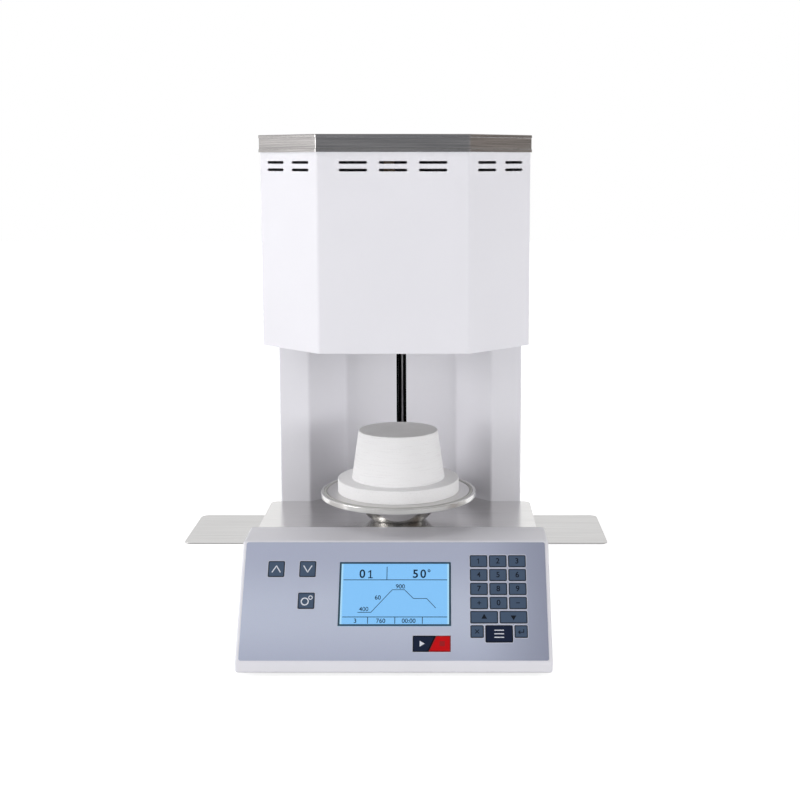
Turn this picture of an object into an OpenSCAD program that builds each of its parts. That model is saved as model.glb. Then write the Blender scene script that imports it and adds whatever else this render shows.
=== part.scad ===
// Dental lab furnace: a firing head over an open workspace, a lift behind it and a sloped console in front.
// Millimetres, +Z up, +X to the operator's right, the front towards -Y.
// The origin is on the table, in the middle of the whole object's footprint.
// Depths behind or in front of the lift's upright axis are measured from that axis.

/* [Base] */
// Height of the gap that the rubber feet leave under the base
foot_h = 4; // [3:0.5:8]
// Radius of a rubber foot
foot_r = 11; // [8:0.5:14]
// Distance from a foot's centre to the edges of the base
foot_inset = 28; // [24:1:40]
// Width of the console
console_w = 320; // [310:1:340]
// Height of the base, from its lower edge to the top of the deck
base_h = 115.3; // [108:0.1:130]
// Height of the upright lip under the slope
lip_h = 12.5; // [10:0.5:18]
// How far the slope runs back from the lip
slope_run = 74; // [66:0.1:80]
// Thickness of the console's walls
console_wall = 2.5; // [2:0.1:3]
// Radius of the console's long corners
console_r = 5; // [3:0.5:7]
// How far the base housing's sides stand in from the cabinet's outer faces
base_inset = 0.2; // [0:0.1:2]
// Thickness of the bent steel sheet
sheet = 1.5; // [1:0.1:1.8]
// Thickness of the deck plate
deck_t = 1.5; // [1:0.1:2]
// Width of the deck
deck_w = 302; // [298:1:308]
// Radius of the corners of deck and trays
corner_r = 8; // [4:0.5:10]

/* [Side trays] */
// How far a tray stands out past the deck
tray_reach = 72; // [50:1:90]
// How far a tray reaches in under the deck
tray_tuck = 66; // [50:1:80]
// Depth of a tray
tray_d = 111.3; // [100:0.1:114]
// Distance from the lift axis back to a tray's rear edge
tray_back = 26.5; // [20:0.5:36]
// Thickness of a tray
tray_t = 1.3; // [1:0.1:2]

/* [Control panel] */
// Thickness of the membrane panel
membrane_t = 0.8; // [0.5:0.1:1.2]
// Margin of the membrane panel on the slope
membrane_margin = 4.2; // [3:0.1:6]
// Width of a number key
key_w = 18; // [15:0.1:18.5]
// Height of a number key
key_h = 12.7; // [10:0.1:13]
// Spacing of the number keys across the panel
key_pitch_x = 19.9; // [19:0.1:21]
// Spacing of the number keys up the panel
key_pitch_s = 14.8; // [14:0.1:15.2]
// Side of a square function key
square_key = 16.8; // [14:0.1:18]
// Travel of a key
key_travel = 0.4; // [0.3:0.05:0.6]
// Gap around a key
key_gap = 0.25; // [0.2:0.05:0.35]
// Width of the display
display_w = 115; // [105:0.5:120]
// Height of the display, up the slope
display_h = 67.4; // [60:0.1:70]

/* [Rear cabinet] */
// Distance from the front lip back to the lift axis
lift_setback = 160.8; // [156:0.1:170]
// Distance from the lift axis back to the rear cover
case_back = 190; // [187:1:205]
// Width of the head and of the cabinet's outer faces
head_w = 280.4; // [272:0.1:286]
// Width between the columns at their front faces
workspace_w = 210.6; // [196:0.1:220]
// Distance from the lift axis back to the columns' front faces
column_front = 77.5; // [74:0.5:82]
// Depth of the angled cheeks between columns and rear wall
cheek_d = 40; // [36:0.5:44]
// Width of the lift slot
slot_w = 11.5; // [10:0.1:14]
// Thickness of the rear cover
cover_t = 1.5; // [1:0.1:2]
// Length of the hose nipple behind the rear cover
nipple_reach = 18; // [14:0.5:26]
// Radius of the hose nipple
nipple_r = 5; // [4.5:0.1:6]

/* [Head] */
// Height of the workspace, from the deck to the head's underside
workspace_h = 202.5; // [180:0.5:225]
// Height of the head below its cap
head_h = 201.4; // [196:0.1:230]
// Height of the cap
cap_h = 17.6; // [14:0.1:24]
// How far the cap stands out past the head
cap_lip = 1.4; // [1.3:0.1:3]
// Thickness of the cap's sheet
cap_t = 1.1; // [0.8:0.1:1.2]
// Distance from the lift axis to the head's front face
head_front = 117; // [112:0.5:126]
// Size of the head's corner facets along X and along Y
facet = 64.3; // [56:0.1:68]
// Length of a vent slot in the front face
vent_l = 28; // [20:0.5:32]
// Height of a vent slot
vent_h = 2.7; // [2:0.1:3.5]
// Spacing of the two rows of vent slots
vent_rise = 7.5; // [6:0.1:10]
// Spacing of the vent slots along a row
vent_pitch = 39.7; // [34:0.1:42]

/* [Lift] */
// Height of the table plate's top above the deck when the lift is down
plate_h = 33.3; // [31:0.1:40]
// Radius of the table plate
plate_r = 85.5; // [84:0.1:92]
// Thickness of the table plate
plate_t = 6; // [5:0.1:6.5]
// Radius of the seal ring's own section
seal_cord_r = 1.75; // [1.5:0.05:1.9]
// How far the seal ring stands above the plate
seal_proud = 0.7; // [0.4:0.1:0.9]
// Radius of the bowl at the table plate
bowl_top_r = 46; // [43:0.5:47]
// Radius that the bowl's wall is curved to
bowl_curve_r = 48; // [47.5:0.5:54]
// Thickness of the bowl's wall
bowl_t = 1.5; // [1:0.1:2]
// Width of the lift arm where it passes through the slot
arm_w = 8; // [6:0.1:9]
// Height of the lift arm
arm_h = 20; // [16:0.5:20]
// Radius of a guide rod
rod_r = 5; // [4:0.1:6]
// Distance between the two guide rods
rod_gap = 44; // [43:0.5:48]
// Radius of the lift spindle
spindle_r = 6; // [5:0.1:7]
// Clearance between a shaft and the hole that it runs in
running = 0.06; // [0.03:0.01:0.1]

/* [Firing table] */
// Radius of the insulation disc
disc_r = 66.9; // [62:0.1:70]
// Height of the insulation disc
disc_h = 14.6; // [12:0.1:18]
// Radius of the firing block at its foot
block_r = 51.2; // [46:0.1:54]
// Radius of the firing block at its top
block_top_r = 43.5; // [38:0.1:46]
// Height of the firing block
block_h = 53.3; // [44:0.1:60]

/* [Muffle] */
// Radius of the muffle casing
casing_r = 97.5; // [95:0.1:100]
// Height of the muffle casing
casing_h = 165; // [160:1:172]
// Thickness of the muffle casing's wall
casing_t = 2; // [1.5:0.1:3]
// Thickness of the sealing flange
flange_t = 6; // [5:0.5:8]
// Clearance between the firing table and the muffle
muffle_gap = 2.8; // [2:0.1:3.5]
// Height of the firing chamber above its mouth
chamber_h = 96; // [80:1:104]
// Radius of the heating wire
wire_r = 1.5; // [1:0.1:1.8]
// Turns of the heating coil
coil_turns = 8; // [5:1:10]
// Height of the heating coil between its end turns
coil_h = 68; // [60:1:72]

/* [Hidden] */
$fn = 96;

// Small gaps: between seated pieces of one body, and between bodies that pass each other
seat = 0.2;
pass = 0.3;

// Levels
pan_rise = 1.5;
deck_z = foot_h + base_h;
shelf_top = deck_z - deck_t;
head_z = deck_z + workspace_h;
cap_z = head_z + head_h;
top_z = cap_z + cap_h;
plate_z = deck_z + plate_h;
plate_under = plate_z - plate_t;
arm_top = plate_under - 2.6;
arm_z = arm_top - arm_h;
lift_travel = head_z - pass - plate_z - seal_proud;

// Places along Y
overall_d = lift_setback + case_back + cover_t + nipple_reach;
lift_y = lift_setback - overall_d / 2;
ledge_back = -lift_setback + slope_run + 52.8;
rear_wall = column_front + cheek_d;
tray_front = max(tray_back - tray_d, slope_run - lift_setback + console_wall - 0.5);
tray_depth = tray_back - tray_front;
half_w = head_w / 2;
base_w = head_w - 2 * base_inset;
bend = tan(22.5);

// Trays and the shelf that they slide on
tray_z = deck_z - console_wall - 0.4 - tray_t;
shelf_z = tray_z - pass - sheet;

// Control panel, in the slope's own coordinates: x across, s up the slope, n outwards
slope_rise = base_h - lip_h;
slope_a = atan2(slope_rise, slope_run);
slope_l = norm([slope_run, slope_rise]);
slope_edge = 1.7;
key_t = 2.6;
key_proud = 0.3;
key_n = membrane_t + key_proud - key_t;
board_gap = 2.1;
board_t = 1.6;
board_n = -console_wall - board_gap - board_t;
dome_top = key_n - key_travel - seat;
keypad_x = 77.4;
keypad_s = 110.7;
pad_w = 2 * key_pitch_x + key_w;
pad_gap = key_pitch_x - key_w;
row_s = [for (i = [0:6]) keypad_s - i * key_pitch_s];
half_key = (pad_w - pad_gap) / 2;
end_key = 13.2;
program_h = 17.4;
display_s = 69.7;
split_w = 38;
split_h = 16.2;
split_lean = 7.7;
split_gap = 0.7;
split_x = 19;
split_s = 9.8;
up_x = -131.6;
down_x = -99.1;
up_s = 87.5;
settings_s = 53.9;

// Rear mast, carriage and spindle
mast_w = 76;
mast_t = 2;
mast_front = rear_wall + sheet;
mast_d = 61;
mast_plate = 6;
rod_y = mast_front + 36;
carriage_w = 68;
carriage_d = 34;
carriage_h = 34;
carriage_z = shelf_top + mast_plate + 0.5;
carriage_top = carriage_z + carriage_h;
nut_r = 10;
nut_flange_r = 14.5;
nut_flange_t = 4;
mast_top = carriage_top + nut_flange_t + lift_travel + 3 + mast_plate;
journal_r = 4;
bearing_r = 9.5;
motor_w = 56;
motor_h = 62;
slot_z = deck_z + 1;
slot_top = arm_top + lift_travel + 3;
arm_foot_w = 40;
arm_foot_t = 6;
hub_r = 14;

// Seal, muffle and coil
seal_r = plate_r - 5;
groove_w = 2 * seal_cord_r + 0.3;
groove_d = 2 * seal_cord_r - seal_proud;
spigot_r = 20;
spigot_h = 3;
casing_top = head_z + casing_h;
mouth_r = disc_r + muffle_gap;
mouth_top = plate_z + disc_h + lift_travel + muffle_gap;
chamber_r = block_r + muffle_gap;
chamber_top = mouth_top + chamber_h;
coil_groove_r = chamber_r + 2 * wire_r + 2.4;
coil_r = coil_groove_r - pass - wire_r;
coil_mid = mouth_top + chamber_h / 2;
coil_steps = 24;
probe_x = -6.5;
probe_y = -40;
probe_r = 3;

// Rear fittings
screw_x = half_w - 8;
screw_rows = [shelf_top + 32, head_z - 32, head_z + 30, cap_z - 24];
nipple_x = 80.2 - half_w;
nipple_z = head_z + 108;
inlet_x = base_w / 2 - 50;
inlet_z = 62;
inlet_w = 52;
inlet_h = 66;
inlet_flange = 2.5;
inlet_face = case_back + inlet_flange;
rocker_z = inlet_z + 17;
rocker_tilt = 8;
rocker_sink = 1.5;

white = [0.93, 0.93, 0.95];
steel = [0.72, 0.72, 0.72];
dark = [0.12, 0.12, 0.13];
slate = [0.29, 0.36, 0.45];

// Each key: name, left, right, lower and upper edge, lean of its slanted side
number_rows = [
    ["key_1", "key_2", "key_3"],
    ["key_4", "key_5", "key_6"],
    ["key_7", "key_8", "key_9"],
    ["key_plus", "key_0", "key_minus"]
];
number_keys = [
    for (r = [0:3], c = [0:2])
        let (x = keypad_x + c * key_pitch_x)
        [number_rows[r][c], x, x + key_w, row_s[r] - key_h, row_s[r]]
];
page_keys = [
    for (i = [0:1])
        let (x = keypad_x + i * (half_key + pad_gap))
        [["key_page_up", "key_page_down"][i], x, x + half_key, row_s[4] - key_h, row_s[4]]
];
pad_right = keypad_x + pad_w;
inner_left = keypad_x + end_key + pad_gap;
inner_right = pad_right - end_key - pad_gap;
foot_keys = [
    ["key_escape", keypad_x, keypad_x + end_key, row_s[5] - key_h, row_s[5]],
    ["key_program", inner_left, inner_right, row_s[5] - program_h, row_s[5]],
    ["key_enter", pad_right - end_key, pad_right, row_s[5] - key_h, row_s[5]]
];
function square_at(name, x, s) = [name, x, x + square_key, s, s + square_key];
left_keys = [
    square_at("key_up", up_x, up_s),
    square_at("key_down", down_x, up_s),
    square_at("key_settings", down_x, settings_s)
];
keys = concat(number_keys, page_keys, foot_keys, left_keys);
key_names = [for (k = keys) k[0]];

// Shared shapes
function arc(x, y, r, from, to, n = 6) = [
    for (i = [0:n]) [x + r * cos(from + (to - from) * i / n), y + r * sin(from + (to - from) * i / n)]
];

module at_lift() {
    translate([0, lift_y, 0]) children();
}

module on_panel() {
    at_lift()
        translate([0, -lift_setback, foot_h + lip_h])
            rotate([slope_a, 0, 0])
                children();
}

module along_x(w) {
    rotate([90, 0, 90])
        translate([0, 0, -w / 2])
            linear_extrude(w)
                children();
}

module rounded(w, h, r) {
    square([w - 2 * r, h], center = true);
    square([w, h - 2 * r], center = true);
    for (x = [-1, 1], y = [-1, 1])
        translate([x * (w / 2 - r), y * (h / 2 - r)])
            circle(r, $fn = 32);
}

module both_sides() {
    for (side = [0, 1])
        mirror([side, 0, 0])
            children();
}

// Base
module console_side() {
    front = -lift_setback;
    top = foot_h + base_h;
    lip_r = 3;
    polygon(concat(
        [[ledge_back, foot_h]],
        arc(front + lip_r, foot_h + lip_r, lip_r, 270, 180),
        [[front, foot_h + lip_h], [front + slope_run, top], [ledge_back, top]]
    ));
}

module console_inside() {
    front = -lift_setback + console_wall;
    low = foot_h + lip_h - console_wall * cos(slope_a);
    in_y = -lift_setback + console_wall * sin(slope_a);
    roof = foot_h + base_h - console_wall;
    up = (roof - low) / sin(slope_a);
    polygon([
        [front, foot_h - 1],
        [front, low + (front - in_y) * tan(slope_a)],
        [in_y + up * cos(slope_a), roof],
        [ledge_back + 1, roof],
        [ledge_back + 1, foot_h - 1]
    ]);
}

module console_front() {
    r = console_r;
    w = console_w / 2;
    top = foot_h + base_h;
    polygon(concat(
        arc(w - r, foot_h + r, r, -90, 0),
        arc(w - r, top - r, r, 0, 90),
        arc(-w + r, top - r, r, 90, 180),
        arc(-w + r, foot_h + r, r, 180, 270)
    ));
}

module panel_window(x0, x1, s0, s1) {
    translate([x0, s0, -console_wall - 3])
        cube([x1 - x0, s1 - s0, console_wall + 4]);
}

module console_shell() {
    difference() {
        intersection() {
            along_x(console_w) console_side();
            translate([0, ledge_back, 0])
                rotate([90, 0, 0])
                    linear_extrude(lift_setback + ledge_back)
                        console_front();
        }
        along_x(console_w - 2 * console_wall) console_inside();
    }
}

// Flanges that close the shell's back beside the base housing
module console_flanges() {
    side = base_w / 2 + seat;
    both_sides()
        translate([side, ledge_back - console_wall, foot_h])
            cube([(console_w - console_wall) / 2 - side, console_wall, tray_z - pass - foot_h]);
}

module console_housing() {
    rim = 2;
    color(white) {
        difference() {
            at_lift() {
                console_shell();
                console_flanges();
            }
            at_lift()
                translate([-console_w, tray_front - pass, tray_z - pass])
                    cube([2 * console_w, ledge_back - tray_front + 1, tray_t + pass + 0.4]);
            on_panel() {
                panel_window(-display_w / 2 - 0.5, display_w / 2 + 0.5,
                    display_s - display_h / 2 - 0.5, display_s + display_h / 2 + 0.5);
                panel_window(keypad_x - rim, pad_right + rim, row_s[5] - program_h - rim, row_s[0] + rim);
                panel_window(up_x - rim, down_x + square_key + rim,
                    settings_s - rim, up_s + square_key + rim);
                panel_window(split_x - rim, split_x + split_w + rim, split_s - rim, split_s + split_h + rim);
            }
        }
    }
}

module base_pan() {
    z = foot_h + pan_rise;
    w = console_w - 2 * console_wall - 2 * seat;
    front = -lift_setback + console_wall + seat;
    neck = ledge_back - console_wall - seat;
    color(steel)
        at_lift() {
            translate([-w / 2, front, z])
                cube([w, neck - front, sheet]);
            translate([-base_w / 2 + sheet + seat, neck - 1, z])
                cube([base_w - 2 * sheet - 2 * seat, case_back - neck + 1 - sheet - seat, sheet]);
        }
}

module feet() {
    color(dark)
        at_lift()
            for (x = [-1, 1], y = [-lift_setback + foot_inset, case_back - foot_inset])
                translate([x * (base_w / 2 - foot_inset), y, 0]) {
                    cylinder(h = 1, r1 = foot_r - 1, r2 = foot_r);
                    translate([0, 0, 1])
                        cylinder(h = foot_h + pan_rise - 1, r = foot_r);
                }
}

module base_housing() {
    w = base_w / 2;
    step = tray_back + pass;
    color(white)
        at_lift()
            difference() {
                union() {
                    both_sides()
                        translate([w - sheet, ledge_back, foot_h])
                            cube([sheet, case_back - ledge_back, shelf_top - foot_h]);
                    translate([-w, case_back - sheet, foot_h])
                        cube([base_w, sheet, shelf_top - foot_h]);
                    translate([-w, step, shelf_top - sheet])
                        cube([base_w, case_back - step, sheet]);
                    translate([-w + sheet, tray_front - pass - sheet, shelf_z])
                        cube([base_w - 2 * sheet, step - tray_front + pass + 2 * sheet, sheet]);
                    translate([-w, step, shelf_z])
                        cube([base_w, sheet, shelf_top - shelf_z]);
                }
                translate([-console_w, ledge_back - 1, shelf_z + sheet])
                    cube([2 * console_w, step - ledge_back + 1, base_h]);
                translate([0, rod_y, shelf_top - 2 * sheet])
                    cylinder(h = 3 * sheet, r = bearing_r);
                translate([inlet_x, case_back, inlet_z])
                    cube([inlet_w - 6 + 2 * seat, 4 * sheet, inlet_h - 6 + 2 * seat], center = true);
            }
}

module deck_plate() {
    ear = column_front - 0.5;
    w = deck_w / 2;
    inner = workspace_w / 2 - seat;
    color(steel)
        at_lift()
            translate([0, 0, shelf_top])
                linear_extrude(deck_t)
                    polygon(mirrored(concat(
                        [[w, ledge_back]],
                        arc(w - corner_r, ear - corner_r, corner_r, 0, 90),
                        [[inner, ear], [inner, column_front]],
                        [[inner - cheek_d + seat, rear_wall - seat]]
                    )));
}

// Side trays
module tray() {
    length = tray_reach + tray_tuck;
    color(steel)
        at_lift()
            translate([deck_w / 2 - tray_tuck + length / 2, tray_front + tray_depth / 2, tray_z])
                linear_extrude(tray_t)
                    rounded(length, tray_depth, corner_r);
}

module right_tray() {
    tray();
}

module left_tray() {
    mirror([1, 0, 0]) tray();
}

// Control panel
module key_outline(k, grow = 0) {
    translate([(k[1] + k[2]) / 2, (k[3] + k[4]) / 2])
        rounded(k[2] - k[1] + 2 * grow, k[4] - k[3] + 2 * grow, 1 + grow);
}

module start_outline() {
    top = split_x + 0.6 * split_w;
    polygon([
        [split_x, split_s],
        [top - split_lean, split_s],
        [top, split_s + split_h],
        [split_x, split_s + split_h]
    ]);
}

module stop_outline() {
    top = split_x + 0.6 * split_w + split_gap;
    right = split_x + split_w;
    polygon([
        [top - split_lean, split_s],
        [right, split_s],
        [right, split_s + split_h],
        [top, split_s + split_h]
    ]);
}

module key_body() {
    on_panel()
        translate([0, 0, key_n])
            linear_extrude(key_t)
                children();
}

module panel_key(k) {
    color(slate) key_body() key_outline(k);
}

module key_start() {
    color([0.07, 0.15, 0.27]) key_body() start_outline();
}

module key_stop() {
    color([0.8, 0.02, 0.08]) key_body() stop_outline();
}

module membrane_panel() {
    w = console_w - 2 * membrane_margin;
    low = 1;
    high = slope_l - slope_edge;
    color([0.66, 0.68, 0.77])
        on_panel()
            linear_extrude(membrane_t)
                difference() {
                    translate([0, (low + high) / 2])
                        rounded(w, high - low, 2);
                    translate([0, display_s])
                        square([display_w + 2 * seat, display_h + 2 * seat], center = true);
                    for (k = keys)
                        key_outline(k, key_gap);
                    translate([split_x - key_gap, split_s - key_gap])
                        square([split_w + 2 * key_gap, split_h + 2 * key_gap]);
                }
}

module lcd_window() {
    color([0.55, 0.78, 1, 0.4])
        on_panel()
            translate([-display_w / 2, display_s - display_h / 2, 0.1])
                cube([display_w, display_h, membrane_t - 0.1]);
}

module lcd_module() {
    frame = 4;
    depth = 7;
    color([0.35, 0.6, 0.9])
        on_panel() {
            translate([0, display_s, -console_wall - depth])
                linear_extrude(depth)
                    square([display_w + 2 * frame, display_h + 2 * frame], center = true);
            translate([0, display_s, -console_wall])
                linear_extrude(console_wall)
                    square([display_w, display_h], center = true);
        }
}

module control_board() {
    w = console_w - 2 * console_wall - 16;
    low = 4;
    high = slope_l - 8;
    post_r = 3;
    color([0.1, 0.35, 0.2])
        on_panel() {
            translate([0, 0, board_n])
                linear_extrude(board_t)
                    difference() {
                        translate([-w / 2, low])
                            square([w, high - low]);
                        translate([0, display_s])
                            square([display_w + 12, display_h + 12], center = true);
                    }
            translate([0, 0, board_n + board_t]) {
                for (k = keys)
                    translate([(k[1] + k[2]) / 2, (k[3] + k[4]) / 2, 0])
                        cylinder(h = dome_top - board_n - board_t, r = 3, $fn = 32);
                for (x = [0.2, 0.85])
                    translate([split_x + x * split_w, split_s + split_h / 2, 0])
                        cylinder(h = dome_top - board_n - board_t, r = 3, $fn = 32);
                for (x = [-w / 2 + 6, w / 2 - 6], s = [low + 6, high - 6])
                    translate([x, s, 0])
                        cylinder(h = board_gap, r = post_r, $fn = 32);
            }
        }
}

// Rear cabinet
function cabinet_line(t) = [
    [half_w - t, case_back],
    [half_w - t, column_front + t],
    [workspace_w / 2 + bend * t, column_front + t],
    [workspace_w / 2 - cheek_d + bend * t, rear_wall + t]
];

function mirrored(points) = concat(
    points,
    [for (i = [len(points) - 1:-1:0]) [-points[i][0], points[i][1]]]
);

module rear_flanges(z, h) {
    width = 15;
    both_sides()
        translate([half_w - width, case_back - sheet, z])
            cube([width, sheet, h]);
}

module screw_places() {
    both_sides()
        for (z = screw_rows)
            translate([screw_x, case_back, z])
                rotate([-90, 0, 0])
                    children();
}

module column_housing() {
    color(white)
        at_lift()
            difference() {
                union() {
                    translate([0, 0, shelf_top])
                        linear_extrude(head_z - shelf_top)
                            difference() {
                                polygon(mirrored(cabinet_line(0)));
                                polygon(mirrored(concat(
                                    [[half_w - sheet, case_back + 1]],
                                    [for (i = [1:3]) cabinet_line(sheet)[i]]
                                )));
                            }
                    rear_flanges(shelf_top, head_z - shelf_top);
                }
                translate([-slot_w / 2, rear_wall - 1, slot_z])
                    cube([slot_w, sheet + 2, slot_top - slot_z]);
                screw_places()
                    translate([0, 0, -3])
                        cylinder(h = 4, r = 1.75, $fn = 32);
            }
}

module lift_mast() {
    w = mast_w;
    h = mast_top - shelf_top;
    color(dark)
        at_lift()
            difference() {
                translate([-w / 2, mast_front, shelf_top])
                    cube([w, mast_d, h]);
                translate([-w / 2 + mast_t, mast_front - 1, shelf_top + mast_plate])
                    cube([w - 2 * mast_t, mast_d - mast_t + 1, h - 2 * mast_plate]);
                for (x = [-1, 1])
                    translate([x * rod_gap / 2, rod_y, shelf_top - 1])
                        cylinder(h = h + 2, r = rod_r + 0.02);
                translate([0, rod_y, shelf_top - 1])
                    cylinder(h = h + 2, r = bearing_r + 0.02);
            }
}

module guide_rods() {
    color(steel)
        at_lift()
            for (x = [-1, 1])
                translate([x * rod_gap / 2, rod_y, shelf_top])
                    cylinder(h = mast_top - shelf_top, r = rod_r);
}

module spindle_bearings() {
    color(steel)
        at_lift()
            for (z = [shelf_top, mast_top - mast_plate])
                translate([0, rod_y, z])
                    difference() {
                        cylinder(h = mast_plate, r = bearing_r);
                        translate([0, 0, -1])
                            cylinder(h = mast_plate + 2, r = journal_r + running);
                    }
}

module lift_spindle() {
    low = shelf_top + mast_plate + pass;
    high = mast_top - mast_plate - pass;
    drive = shelf_top - sheet - 20;
    color(steel)
        at_lift()
            translate([0, rod_y, 0]) {
                translate([0, 0, low])
                    cylinder(h = high - low, r = spindle_r);
                translate([0, 0, drive])
                    cylinder(h = mast_top + 2 - drive, r = journal_r);
            }
}

module lift_motor() {
    top = shelf_top - sheet;
    color(dark)
        at_lift()
            translate([0, rod_y, top - motor_h])
                difference() {
                    linear_extrude(motor_h)
                        intersection() {
                            square([motor_w, motor_w], center = true);
                            rotate(45)
                                square([1.24 * motor_w, 1.24 * motor_w], center = true);
                        }
                    translate([0, 0, motor_h - 24])
                        cylinder(h = 30, r = journal_r + running);
                }
}

module lift_carriage() {
    color(steel)
        at_lift()
            difference() {
                translate([-carriage_w / 2, rod_y - carriage_d / 2, carriage_z])
                    cube([carriage_w, carriage_d, carriage_h]);
                for (x = [-1, 1])
                    translate([x * rod_gap / 2, rod_y, carriage_z - 1])
                        cylinder(h = carriage_h + 2, r = rod_r + running);
                translate([0, rod_y, carriage_z - 1])
                    cylinder(h = carriage_h + 2, r = nut_r + 0.02);
            }
}

module spindle_nut() {
    color([0.75, 0.6, 0.35])
        at_lift()
            translate([0, rod_y, carriage_z])
                difference() {
                    union() {
                        cylinder(h = carriage_h, r = nut_r);
                        translate([0, 0, carriage_h])
                            cylinder(h = nut_flange_t, r = nut_flange_r);
                    }
                    translate([0, 0, -1])
                        cylinder(h = carriage_h + nut_flange_t + 2, r = spindle_r + running);
                }
}

module rear_cover() {
    low = shelf_top + seat;
    high = cap_z - pass;
    louvre_l = 40;
    louvre_rows = 6;
    color(white)
        at_lift()
            difference() {
                translate([-half_w, case_back, low])
                    cube([head_w, cover_t, high - low]);
                for (x = [-1.1, 0, 1.1], i = [0:louvre_rows - 1], z = [cap_z - 70, head_z - 90])
                    translate([x * louvre_l * 1.1 - louvre_l / 2, case_back - 1, z + i * vent_rise])
                        cube([louvre_l, cover_t + 2, vent_h]);
                translate([nipple_x, case_back - 1, nipple_z])
                    rotate([-90, 0, 0])
                        cylinder(h = cover_t + 2, r = nipple_r + 1 + seat);
                screw_places()
                    translate([0, 0, -1])
                        cylinder(h = cover_t + 2, r = 2.1, $fn = 32);
            }
}

module cover_screws() {
    color(steel)
        at_lift()
            screw_places() {
                translate([0, 0, -sheet])
                    cylinder(h = sheet + cover_t, r = 1.6, $fn = 32);
                difference() {
                    translate([0, 0, cover_t])
                        cylinder(h = 1.6, r1 = 3.6, r2 = 2.8, $fn = 32);
                    for (a = [0, 90])
                        rotate(a)
                            translate([-2, -0.4, cover_t + 0.8])
                                cube([4, 0.8, 2]);
                }
            }
}

module vacuum_line() {
    tube_r = nipple_r - 1;
    start = sqrt(pow(casing_r - casing_t, 2) - pow(abs(nipple_x) - tube_r, 2)) + seat;
    stop = case_back + cover_t;
    hex_h = 3;
    color(steel)
        at_lift()
            translate([nipple_x, 0, nipple_z])
                rotate([-90, 0, 0])
                    difference() {
                        union() {
                            translate([0, 0, start])
                                cylinder(h = stop - start, r = tube_r);
                            translate([0, 0, case_back - 6])
                                cylinder(h = 6, r = nipple_r + 4);
                            translate([0, 0, case_back - 1])
                                cylinder(h = cover_t + 1, r = nipple_r + 1);
                            translate([0, 0, stop])
                                cylinder(h = hex_h, r = nipple_r + 5, $fn = 6);
                            translate([0, 0, stop])
                                cylinder(h = nipple_reach, r = nipple_r);
                        }
                        translate([0, 0, start - 1])
                            cylinder(h = stop - start + nipple_reach + 2, r = tube_r - 1);
                    }
}

module inlet_module() {
    depth = 30;
    socket_w = 26;
    socket_h = 18;
    socket_d = 17;
    socket_z = -15;
    rocker_w = 22;
    rocker_h = 14;
    rocker_d = 9;
    pin_l = 11;
    color(dark)
        at_lift()
            translate([inlet_x, inlet_face, inlet_z]) {
                difference() {
                    union() {
                        translate([-inlet_w / 2, -inlet_flange, -inlet_h / 2])
                            cube([inlet_w, inlet_flange, inlet_h]);
                        translate([-inlet_w / 2 + 3, -depth, -inlet_h / 2 + 3])
                            cube([inlet_w - 6, depth - 1, inlet_h - 6]);
                    }
                    translate([-socket_w / 2, -socket_d, socket_z - socket_h / 2])
                        cube([socket_w, socket_d + 1, socket_h]);
                    translate([-rocker_w / 2, -rocker_d, rocker_z - inlet_z - rocker_h / 2])
                        cube([rocker_w, rocker_d + 1, rocker_h]);
                    translate([-11, -0.6, -2])
                        cube([22, 1, 8]);
                }
                for (p = [[0, 3.5], [-7, -3.5], [7, -3.5]])
                    translate([p[0] - 1, -socket_d - 1, socket_z + p[1] - 2])
                        cube([2, pin_l + 1, 4]);
            }
}

module power_rocker() {
    w = 21.4;
    color([0.1, 0.1, 0.1])
        at_lift()
            translate([inlet_x, inlet_face - rocker_sink, rocker_z])
                rotate([rocker_tilt, 0, 0])
                    along_x(w)
                        polygon([[-4, -4.5], [2.2, -6.4], [1.1, 0], [2.2, 6.4], [-4, 4.5]]);
}

module transformer() {
    outer = 42;
    hole = 14;
    h = 44;
    r = 8;
    color([0.2, 0.3, 0.6])
        at_lift()
            translate([18 + outer - base_w / 2, case_back - outer - 40, foot_h + pan_rise + sheet])
                rotate_extrude()
                    union() {
                        polygon(concat(
                            arc(outer - r, r, r, -90, 0),
                            arc(outer - r, h - r, r, 0, 90),
                            arc(hole + r, h - r, r, 90, 180),
                            arc(hole + r, r, r, 180, 270)
                        ));
                        translate([0, h])
                            square([outer - 10, 2]);
                        square([4, h + 8]);
                    }
}

// Lift
module lift_arm() {
    back = rod_y - carriage_d / 2;
    floor_z = deck_z + 0.5 + bowl_t;
    color(steel)
        at_lift() {
            translate([0, 0, floor_z])
                cylinder(h = plate_under - floor_z, r = hub_r);
            translate([-arm_w / 2, 0, arm_z])
                cube([arm_w, back - arm_foot_t + 1, arm_h]);
            translate([-arm_foot_w / 2, back - arm_foot_t, carriage_z])
                cube([arm_foot_w, arm_foot_t, carriage_h]);
        }
}

module lift_bowl() {
    z0 = deck_z + 0.5;
    rise = sqrt(pow(bowl_curve_r, 2) - pow(bowl_top_r, 2));
    centre = plate_under + rise;
    from = -asin((centre - z0) / bowl_curve_r);
    to = -asin(rise / bowl_curve_r);
    in_r = bowl_curve_r - bowl_t;
    in_from = -asin((centre - z0 - bowl_t) / in_r);
    in_to = -asin(rise / in_r);
    color(steel)
        at_lift()
            difference() {
                rotate_extrude()
                    polygon(concat(
                        [[0, z0]],
                        arc(0, centre, bowl_curve_r, from, to, 16),
                        arc(0, centre, in_r, in_to, in_from, 16),
                        [[0, z0 + bowl_t]]
                    ));
                translate([-arm_w / 2 - 0.4, hub_r, arm_z - 0.4])
                    cube([arm_w + 0.8, bowl_curve_r, plate_h]);
            }
}

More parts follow.
